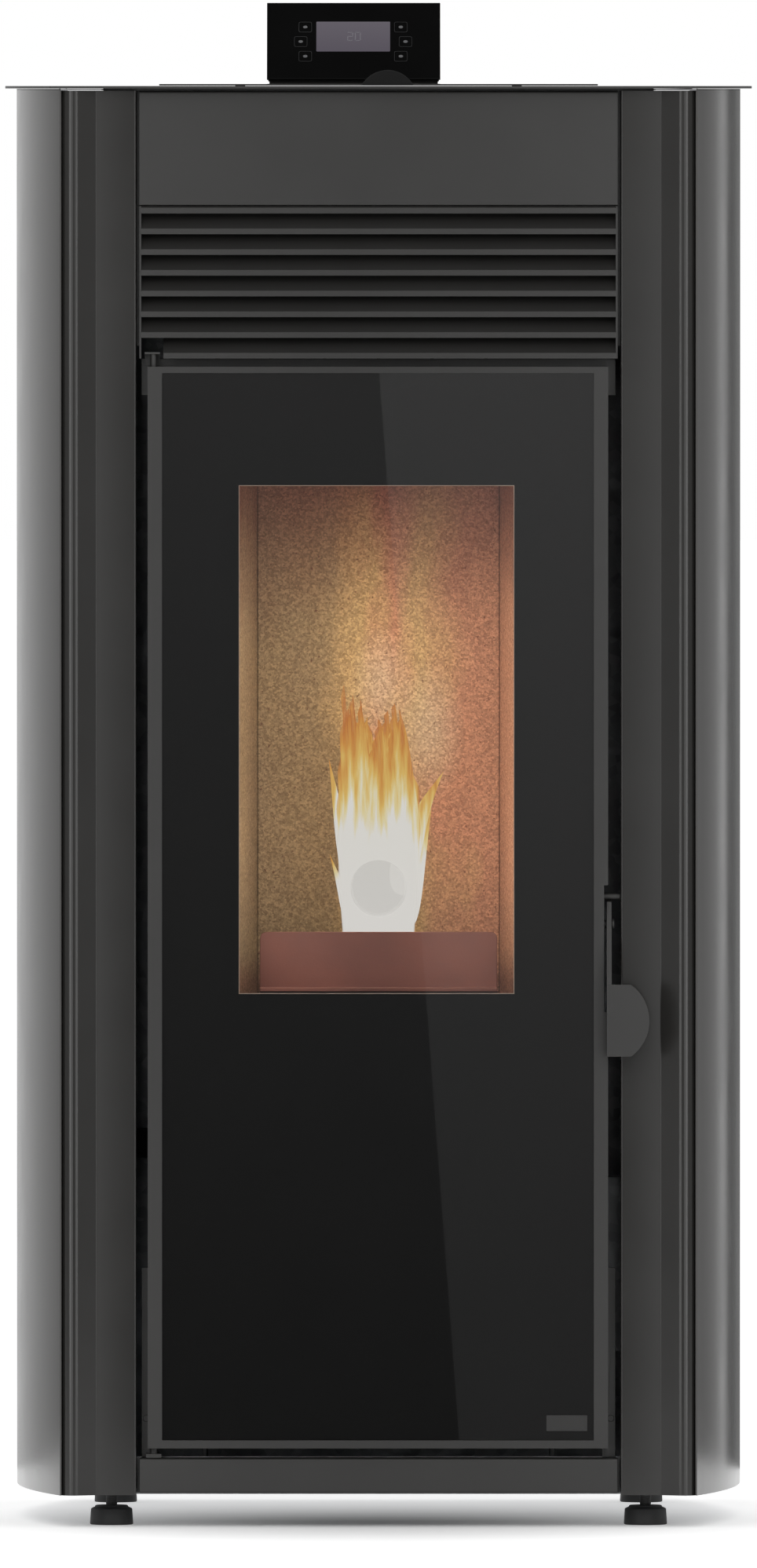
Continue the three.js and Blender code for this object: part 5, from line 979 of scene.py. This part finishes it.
@dataclass
class BurnChamber:
    """Everything seen through the window: linings, burn pot, guard plate, chute mouth, embers and flame."""

    frame: dict
    flame_low: float = 0.4725
    flame_high: float = 0.660

    def build(self) -> None:
        """Builds and dresses the burn chamber."""
        for finish, edge, nodes in (
            (BLACK, Edge(0.0004), ("firebox",)),
            (BOARD, Edge(0.0008), ("back_lining",)),
            (BOARD, Edge(0.0012), ("left_lining", "right_lining", "flame_baffle")),
            (IRON, Edge(0.0006), ("burn_pot_cradle",)),
            (IRON, Edge(0.0008, 3), ("burn_pot",)),
            (GUARD, Edge(0.0007, 3), ("ash_guard_plate",)),
            (ZINC, Edge(0.0003), ("pellet_chute", "ash_drawer")),
            (STEEL, Edge(0.0004), ("igniter",)),
            (ZINC, Edge(0.0003), ("combustion_air_pipe",)),
        ):
            rounded_nodes(self.frame, finish, edge, *nodes)
        self.embers()
        self.flame()

    def embers(self) -> None:
        """Glowing pellets in the pot: short round rods, each turned by its own angle."""
        low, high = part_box("burn_pot")
        seed, margin, layers, in_layer = 7, 0.020, 3, 34
        first_layer, layer_rise = 0.0085, 0.0055
        chance = np.random.default_rng(seed)
        rod = np.array([(0.0, -0.008), (0.0022, -0.008), (0.0029, -0.0073), (0.0029, 0.0073), (0.0022, 0.008),
                        (0.0, 0.008)])
        base = turned(rod, (0.0, 0.0, 0.0), 0, 10)
        lumps = []
        for index in range(layers * in_layer):
            turn, tip = chance.uniform(0.0, math.pi), chance.uniform(-0.35, 0.35)
            spin = np.array(Matrix.Rotation(turn, 3, "Z"))
            rock = np.array(Matrix.Rotation(tip, 3, "Y"))
            place = (chance.uniform(low.x + margin, high.x - margin), chance.uniform(low.y + margin, high.y - margin),
                     low.z + first_layer + layer_rise * (index // in_layer))
            lumps.append(Surface(base.points @ rock.T @ spin.T + np.array(place), base.faces))
        make("glowing_pellets", merged(lumps), EMBER, Body.CASING)

    def tongue(self, tongue: Tongue) -> tuple[Surface, np.ndarray, np.ndarray]:
        """P(a, t) = root + (tip - root) (t^curl across, t up) + w(t) (cos a, 0.7 sin a), w closing at both ends.

        Args:
            tongue: The tongue.

        Returns:
            Its surface, the heat of each point and how near the point is to the rim.
        """
        rows, sides = 44, 28
        along = np.linspace(0.0, 1.0, rows)[:, None]
        angle = np.linspace(0.0, 2.0 * math.pi, sides, endpoint=False)[None, :]
        shape = np.sin(math.pi * along**0.6) ** 0.7 * (1.0 - along) ** 0.3
        across = tongue.root[0] + (tongue.tip[0] - tongue.root[0]) * along**tongue.curl
        x = across + tongue.width * shape * np.cos(angle)
        y = tongue.depth_at + 0.7 * tongue.width * shape * np.sin(angle)
        z = tongue.root[1] + (tongue.tip[1] - tongue.root[1]) * along + 0.0 * angle
        level = (z - self.flame_low) / (self.flame_high - self.flame_low)
        heat = level + tongue.cool * (0.4 + along**2)
        surface = Surface(np.stack([x, y, z], -1).reshape(-1, 3), grid_faces(rows, sides, True))
        return surface, heat.reshape(-1), (0.9 * np.abs(np.cos(angle)) + 0.0 * along).reshape(-1)

    def curtain(self, sheet: Curtain) -> tuple[Surface, np.ndarray, np.ndarray]:
        """x = u w(z), z = low + (top(u) - low) v, y = depth + side T sqrt((1 - u^2)(1 - (2v - 1)^6)).

        top(u) is the highest of tip_i - steepness_i |x - x_i|, and never below the notch; w swells a little above the
        root. The heat is half the height in the whole fire and half the height under the local tip.

        Args:
            sheet: The curtain.

        Returns:
            Its surface, the heat of each point and how near the point is to the rim.
        """
        rows, columns = 60, 150
        up = np.linspace(0.0, 1.0, rows)[:, None]
        half_loop = np.sin(np.linspace(-math.pi / 2.0, math.pi / 2.0, columns))
        u = np.concatenate([half_loop, half_loop[::-1]])[None, :]
        side = np.concatenate([-np.ones(columns), np.ones(columns)])[None, :]
        x_tip, z_tip, steepness = (np.array(column)[:, None] for column in zip(*sheet.tips))
        top = np.maximum((z_tip - steepness * np.abs(u * sheet.half * 1.08 - x_tip)).max(0, keepdims=True), sheet.notch)
        z = sheet.low + (top - sheet.low) * up
        level = (z - self.flame_low) / (self.flame_high - self.flame_low)
        width = sheet.half * (1.0 + 0.15 * np.sin(math.pi * np.clip(level * 1.1, 0.0, 1.0)))
        wander = 0.0012 * np.sin(40.0 * level + 60.0 * u) * level
        x = u * width + wander
        swell = np.clip((1.0 - u**2) * (1.0 - (2.0 * up - 1.0) ** 6), 0.0, 1.0)
        y = sheet.depth_at + side * sheet.thickness * np.sqrt(swell)
        surface = Surface(np.stack([x, y, z], -1).reshape(-1, 3), grid_faces(rows, 2 * columns, True))
        heat = 0.5 * level + 0.5 * up
        return surface, heat.reshape(-1), (np.abs(u) + 0.0 * up).reshape(-1)

    def flame(self) -> None:
        """The fire: two curtains one behind the other, and free tongues beside them."""
        curtains = [
            Curtain(-0.142, 0.0288, ((-0.0310, 0.669, 8.0), (-0.0225, 0.662, 6.0), (-0.0150, 0.660, 7.0),
                                     (0.0005, 0.642, 4.0), (0.0130, 0.654, 6.0), (0.0190, 0.650, 6.0),
                                     (0.0270, 0.600, 4.0))),
            Curtain(-0.126, 0.0270, ((-0.0265, 0.652, 5.0), (-0.0100, 0.643, 3.5), (0.0070, 0.648, 4.0),
                                     (0.0220, 0.610, 4.0))),
        ]
        tongues = [
            Tongue((-0.0262, 0.482), (-0.0392, 0.533), 0.0038, -0.134, 1.5, cool=0.30),
            Tongue((-0.0272, 0.520), (-0.0398, 0.610), 0.0052, -0.134, 1.3, cool=0.06),
            Tongue((0.0190, 0.500), (0.0520, 0.599), 0.0130, -0.134, 1.9, cool=0.10),
            Tongue((0.0265, 0.476), (0.0425, 0.570), 0.0064, -0.134, 1.4, cool=0.20),
        ]
        made = [self.curtain(sheet) for sheet in curtains] + [self.tongue(tongue) for tongue in tongues]
        surfaces, heats, rims = zip(*made)
        fields = (("flame_height", np.concatenate(heats)), ("flame_rim", np.concatenate(rims)))
        piece = make("flame", merged(surfaces), FIRE, Body.CASING, fields=fields)
        piece.visible_shadow = False


@dataclass
class Feet:
    """The four levelling feet: a moulded pad on a threaded stud."""

    pad_radius: float = 0.01725
    pad_height: float = 0.0156
    stud_radius: float = 0.0046
    thread: float = 0.00035
    pitch: float = 0.0015

    def build(self) -> None:
        """Builds each foot from one turned profile."""
        for name in ("front_left", "front_right", "rear_left", "rear_right"):
            node = f"levelling_foot_{name}"
            low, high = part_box(node)
            centre = ((low.x + high.x) / 2.0, (low.y + high.y) / 2.0, 0.0)
            make(f"foot_pad_{name}", turned(self.pad_profile(), centre, 2, 64), RUBBER, f"foot_{name}", [node])
            make(f"foot_stud_{name}", turned(self.stud_profile(high.z), centre, 2, 40), BLACK, f"foot_{name}")

    def pad_profile(self) -> np.ndarray:
        """A pad with a rounded foot, a stepped shoulder and a flat top."""
        r, h = self.pad_radius, self.pad_height
        lower = arc((r - 0.0012, 0.0012), 0.0012, -90.0, 0.0, 6)
        upper = arc((r - 0.0022, h - 0.0038), 0.0016, 20.0, 75.0, 5)
        shoulder = arc((r - 0.0052, h - 0.0012), 0.0012, 0.0, 90.0, 5)
        top = np.array([(0.0078, h), (0.0074, h - 0.0004), (0.0, h - 0.0004)])
        return np.vstack([[(0.0, 0.0)], lower, upper, shoulder, top])

    def stud_profile(self, top: float) -> np.ndarray:
        """A stud with a sawtooth thread: r = R - t |2 frac(z / p) - 1|."""
        z = np.arange(self.pad_height - 0.0008, top - 0.0012, self.pitch / 4.0)
        r = self.stud_radius - self.thread * np.abs(2.0 * np.mod(z / self.pitch, 1.0) - 1.0)
        return np.vstack([[(0.0, z[0])], np.stack([r, z], 1), [(self.stud_radius - 0.001, top), (0.0, top)]])


@dataclass
class ControlPanel:
    """The control panel: black glass with a display and six touch fields, leaning back on a folded stand."""

    frame: dict
    tilt: float = math.radians(35.0)
    height: float = 0.0755
    screen_x: tuple[float, float] = (-0.0504, 0.0094)
    screen_z: tuple[float, float] = (1.1758, 1.1999)

    def place(self, surface: Surface) -> Surface:
        """Turns a surface from the glass's own frame (x, out of the glass, up the glass) into the model's frame."""
        low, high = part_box("display_glass")
        lean, rise = math.sin(self.tilt), math.cos(self.tilt)
        back, up = np.array([0.0, rise, -lean]), np.array([0.0, lean, rise])
        base = np.array([0.0, low.y, high.z - self.height * rise])
        x, y, z = surface.points[:, :1], surface.points[:, 1:2], surface.points[:, 2:]
        points = base + x * np.array([1.0, 0.0, 0.0]) + y * back + z * up
        return Surface(points, surface.faces)

    def lift(self, level: float) -> float:
        """Where a height of the front view falls on the tilted glass."""
        _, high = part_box("display_glass")
        return self.height - (high.z - level) / math.cos(self.tilt)

    def build(self) -> None:
        """Builds and dresses the control panel."""
        rounded_nodes(self.frame, CASING, Edge(0.0004), "display_stand")
        rounded_nodes(self.frame, PLASTIC, Edge(0.0012, 4), "display_shell")
        rounded_nodes(self.frame, PANEL_GLASS, Edge(0.0005, 3), "display_glass")
        screen = soft_rectangle(self.screen_x, [self.lift(z) for z in self.screen_z], 0.0008)
        make("display_screen_field", self.place(prism(screen, -0.0002, 0.0002, Plane.FRONT)), SCREEN, Body.CASING)
        self.digits()
        self.keys()

    def digits(self) -> None:
        """Two plain numerals made of seven-segment bars."""
        shapes = {"2": "abged", "0": "abcdef"}
        wide, tall, bar, first, step = 0.0040, 0.0080, 0.0009, -0.0250, 0.0062
        middle = sum(self.lift(z) for z in self.screen_z) / 2.0
        bars = []
        for index, digit in enumerate("20"):
            x0 = first + index * step
            levels = {"a": tall, "g": tall / 2.0, "d": 0.0}
            for segment in shapes[digit]:
                if segment in levels:
                    x, z = (x0, x0 + wide), (levels[segment] - bar / 2.0, levels[segment] + bar / 2.0)
                else:
                    edge = x0 + wide if segment in "bc" else x0
                    x = (edge - bar / 2.0, edge + bar / 2.0)
                    z = (tall / 2.0, tall) if segment in "bf" else (0.0, tall / 2.0)
                z = (z[0] + middle - tall / 2.0, z[1] + middle - tall / 2.0)
                bars.append(prism(rectangle(x, z), -0.0003, 0.0001, Plane.FRONT))
        make("display_numerals", self.place(merged(bars)), SEGMENT, Body.CASING)

    def keys(self) -> None:
        """Six printed touch fields: a rounded outline with a small mark in it."""
        centres = [(-0.0594, 1.1956), (-0.0631, 1.1838), (-0.0594, 1.1719), (0.0181, 1.1956), (0.0219, 1.1838),
                   (0.0181, 1.1719)]
        half_x, half_z, line = 0.0053, 0.0051, 0.0003
        ellipse = np.array([0.0018, 0.0013]) * arc((0.0, 0.0), 1.0, 0.0, 360.0, 20)[:-1]
        outlines, marks = [], []
        for x, level in centres:
            z = self.lift(level)
            loops = []
            for inset, radius in ((0.0, 0.0018), (line, 0.0016)):
                across, up = (x - half_x + inset, x + half_x - inset), (z - half_z + inset, z + half_z - inset)
                loops.append(soft_rectangle(across, up, radius))
            outlines.append(framed(*loops, -0.0001, 0.0001, Plane.FRONT))
            marks.append(prism(np.array([x, z]) + ellipse, -0.00015, 0.0001, Plane.FRONT))
        make("touch_field_outlines", self.place(merged(outlines)), PANEL_LINE, Body.CASING)
        make("touch_field_marks", self.place(merged(marks)), PANEL_PRINT, Body.CASING)


@dataclass
class Hopper:
    """The pellet store with its lid, seal and finger tab."""

    frame: dict

    def build(self) -> None:
        """Builds and dresses the hopper."""
        rounded_nodes(self.frame, ZINC, Edge(0.0003), "hopper")
        rounded_nodes(self.frame, CASING, Edge(0.0004), "hopper_lid")
        rounded_nodes(self.frame, ROPE, Edge(0.0008, 3), "lid_seal")
        rounded_nodes(self.frame, CASING_DARK, Edge(0.0004), "lid_tab")


@dataclass
class Works:
    """What is inside the casing: feed, fans, air ways and electrics."""

    frame: dict

    def build(self) -> None:
        """Dresses each piece by its finish."""
        for finish, nodes in (
            (ZINC, ("auger_tube",)),
            (STEEL, ("auger_screw",)),
            (ALLOY, ("auger_gearmotor",)),
            (ZINC, ("warm_air_duct", "smoke_fan_housing", "smoke_fan_wheel")),
            (ALLOY, ("smoke_fan_motor",)),
            (ZINC, ("flue_collar", "room_fan_housing", "room_fan_wheel")),
            (ALLOY, ("room_fan_motor",)),
            (PLASTIC, ("control_board", "power_inlet", "switch_frame", "switch_rocker")),
        ):
            rounded_nodes(self.frame, finish, Edge(0.0004, 3), *nodes)


@dataclass
class Card:
    """A studio card that only reflections see."""

    name: str
    corners: Sequence[tuple[float, float, float]]
    low: float
    high: float
    axis: int = 2
    span: tuple[float, float] = (0.0, 2.0)
    strength: float = 1.0
    bend: float = 1.0

    def build(self) -> None:
        """Builds the card and hides it from the camera, from soft light and from shadow."""
        mesh = bpy.data.meshes.new(self.name)
        mesh.from_pydata([list(corner) for corner in self.corners], [], [list(range(len(self.corners)))])
        card = placed(self.name, mesh)
        glow = Glow(self.name, "casing_paint", (self.low,) * 3, (self.high,) * 3, strength=self.strength,
                    axis=self.axis, low=self.span[0], high=self.span[1], cloud_scale=1.0, bend=self.bend)
        mesh.materials.append(glow.material())
        card.visible_camera = card.visible_diffuse = False
        card.visible_shadow = card.visible_volume_scatter = False
        card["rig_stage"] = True


@dataclass
class Studio:
    """White floor and world, soft lamps, reflection cards and the camera."""

    lens: float = 800.0
    sensor: float = 36.0
    frame_height: float = 1.2481
    frame_middle: float = 0.5922
    eye_level: float = 1.1475
    plane: float = FRONT
    light_level: float = 0.62
    # The floor's glow near the stove and far from it; the low value near the stove paints a soft shadow.
    floor_lift_and_painted_shadow: tuple[float, float] = (0.02, 0.48)
    floor_reach: float = 60.0
    lamp_radius: float = 0.03
    front_card_y: float = -1.2
    rear_card_y: float = 0.9
    card_levels: tuple[float, float] = (-0.5, 4.0)

    def build(self) -> None:
        """Sets the whole studio."""
        self.view()
        self.world()
        self.floor()
        self.lamps()
        self.cards()
        bpy.context.scene.view_settings.view_transform = "Standard"

    def view(self) -> None:
        """The camera: a long lens far in front, level with the top plate."""
        camera = bpy.data.cameras.new("camera")
        camera.lens, camera.sensor_width, camera.clip_end = self.lens, self.sensor, 200.0
        holder = placed("camera", camera)
        distance = self.frame_height * self.lens / self.sensor
        place = Vector((0.0, self.plane - distance, self.eye_level))
        aim = Vector((0.0, self.plane, self.frame_middle))
        holder.location = place
        holder.rotation_euler = (aim - place).to_track_quat("-Z", "Y").to_euler()
        bpy.context.scene.camera = holder

    def world(self) -> None:
        """White for the camera, for reflections and through glass; a little lower for the light itself."""
        world = bpy.data.worlds.new("studio")
        bpy.context.scene.world = world
        world.use_nodes = True
        back = world.node_tree.nodes["Background"]
        world.node_tree.links.new(self.seen(world.node_tree, self.light_level, 1.0), back.inputs["Strength"])
        back.inputs["Color"].default_value = (1.0, 1.0, 1.0, 1.0)

    def seen(self, tree: bpy.types.NodeTree, otherwise: float, level: float) -> bpy.types.NodeSocket:
        """One level for the camera, reflections and glass, and another for all other rays.

        Args:
            tree: The node tree to add to.
            otherwise: The level for the other rays.
            level: The level for the camera, reflections and glass.

        Returns:
            The level's socket.
        """
        path = tree.nodes.new("ShaderNodeLightPath")
        sockets = [path.outputs[f"Is {kind} Ray"] for kind in ("Camera", "Glossy", "Transmission")]
        total = sockets[0]
        for socket in sockets[1:]:
            either = tree.nodes.new("ShaderNodeMath")
            either.operation = "MAXIMUM"
            tree.links.new(total, either.inputs[0])
            tree.links.new(socket, either.inputs[1])
            total = either.outputs[0]
        span = tree.nodes.new("ShaderNodeMapRange")
        span.inputs["To Min"].default_value = otherwise
        span.inputs["To Max"].default_value = level
        tree.links.new(total, span.inputs["Value"])
        return span.outputs["Result"]

    def floor(self) -> None:
        """A pale floor that keeps the stove's shadow, with a painted soft shadow round the stove: its glow for the
        camera, reflections and glass is lowest near the stove and rises away from it.
        """
        mesh = bpy.data.meshes.new("floor")
        reach = (-self.floor_reach, self.floor_reach)
        corner_points = [(x, y, 0.0) for x, y in rectangle(reach, reach).tolist()]
        mesh.from_pydata(corner_points, [], [(0, 1, 2, 3)])
        floor = placed("floor", mesh)
        shader = Shader("pale_floor")
        shader.set(Base_Color=(0.97, 0.97, 0.97, 1.0), Roughness=0.9, Specular_IOR_Level=0.0,
                   Emission_Color=(1.0, 1.0, 1.0, 1.0))
        shader.relief(shader.noise(300.0, 2.0), 0.00005)
        # Painted shadow: the floor's glow is held low in a soft ellipse round the stove, so the floor there reads
        # darker.
        lift_and_painted_shadow = shader.span(shader.distance((0.0, -0.26, 0.0), (2.0, 1.9, 1.0)), 0.0, 1.0, *self.floor_lift_and_painted_shadow, soft=True)
        lift = shader.maths("MULTIPLY", lift_and_painted_shadow, self.seen(shader.tree, 0.0, 1.0))
        shader.join(lift, shader.surface.inputs["Emission Strength"])
        mesh.materials.append(shader.material)
        floor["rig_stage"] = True

    def lamps(self) -> None:
        """Two wide soft lamps in front, two warm ones in the burn chamber and two before the guard plate."""
        self.area("key_lamp", (-1.0, -4.2, 2.9), (0.0, 0.0, 0.5), 2.6, 58.0)
        self.area("fill_lamp", (1.2, -4.2, 2.2), (0.0, 0.0, 0.6), 2.4, 40.0)
        for name, place, power, colour in (
            ("fire_glow", (0.0, -0.18, 0.53), 0.66, (1.0, 0.90, 0.72)),
            ("fire_glow_high", (-0.01, -0.19, 0.70), 0.68, (1.0, 0.91, 0.75)),
            ("guard_glow_left", (-0.075, -0.262, 0.47), 0.11, (1.0, 0.86, 0.76)),
            ("guard_glow_right", (0.075, -0.262, 0.47), 0.11, (1.0, 0.86, 0.76)),
        ):
            lamp = bpy.data.lights.new(name, "POINT")
            lamp.energy, lamp.color, lamp.shadow_soft_size = power, colour, self.lamp_radius
            holder = placed(name, lamp)
            holder.location = place
            holder.visible_camera = holder.visible_glossy = holder.visible_transmission = False

    def area(self, name: str, place: Sequence[float], aim: Sequence[float], size: float, power: float) -> None:
        """One square lamp turned towards a point, kept out of reflections."""
        lamp = bpy.data.lights.new(name, "AREA")
        lamp.energy, lamp.size = power, size
        holder = placed(name, lamp)
        holder.location = place
        holder.rotation_euler = (Vector(aim) - Vector(place)).to_track_quat("-Z", "Y").to_euler()
        holder.visible_glossy = False

    def cards(self) -> None:
        """Cards that shape what the paint and the glass reflect."""
        upright = self.upright
        Card("front_card", upright(self.front_card_y, -0.192, 0.192), 0.065, 0.24, span=(0.0, 0.95), bend=1.5).build()
        slanted = [(0.0766, -1.19, -0.1), (0.192, -1.19, -0.1), (0.192, -1.19, 2.0), (-0.0814, -1.19, 2.0)]
        Card("slanted_card", slanted, 0.16, 0.43, span=(0.0, 0.95), bend=1.5).build()
        for side, word in ((-1.0, "left"), (1.0, "right")):
            near = upright(self.front_card_y, *sorted((side * 0.192, side * 0.75)))
            Card(f"{word}_near_card", near, 1.6, 1.4, span=(0.0, 1.1)).build()
            far = upright(self.front_card_y, *sorted((side * 0.75, side * 6.0)))
            Card(f"{word}_far_card", far, 0.32, 0.32).build()
            strip = upright(self.front_card_y + 0.05, *sorted((side * 0.56, side * 0.70)))
            Card(f"{word}_strip_card", strip, 1.0, 1.0, strength=4.0).build()
        for name, left, right, low, high, span in (
            ("rear_left_card", -3.5, -0.31, 0.39, 0.72, (-0.9, -0.33)),
            ("rear_right_card", 0.31, 0.610, 0.25, 0.07, (0.40, 0.60)),
            ("rear_right_strip", 0.610, 0.70, 0.76, 0.70, (0.60, 0.70)),
            ("rear_far_card", 0.70, 3.5, 0.34, 0.26, (0.70, 0.95)),
        ):
            Card(name, upright(self.rear_card_y, left, right), low, high, axis=0, span=span).build()
        ceiling = [(x, y, 2.6) for x, y in rectangle((-0.9, 0.9), (-1.1, 0.6)).tolist()]
        Card("ceiling_card", ceiling, 0.03, 0.03).build()

    def upright(self, y: float, left: float, right: float) -> list[tuple[float, float, float]]:
        """Corners of a tall upright card."""
        return [(x, y, z) for x, z in rectangle((left, right), self.card_levels).tolist()]


def corners(bounds: object) -> list:
    """Bounds as plain lists of numbers."""
    return [[float(value) for value in corner] for corner in bounds]


def main() -> None:
    logging.basicConfig(level=logging.INFO, format="%(name)s: %(message)s")
    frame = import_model()
    before = corners(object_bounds())
    for part in (Casing(frame), Grille(), Door(frame), BurnChamber(frame), Feet(), ControlPanel(frame), Hopper(frame),
                 Works(frame), Studio()):
        log.info("building %s", type(part).__name__)
        part.build()
    {"cad": before, "visual": corners(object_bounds())}


if __name__ == "__main__":
    main()
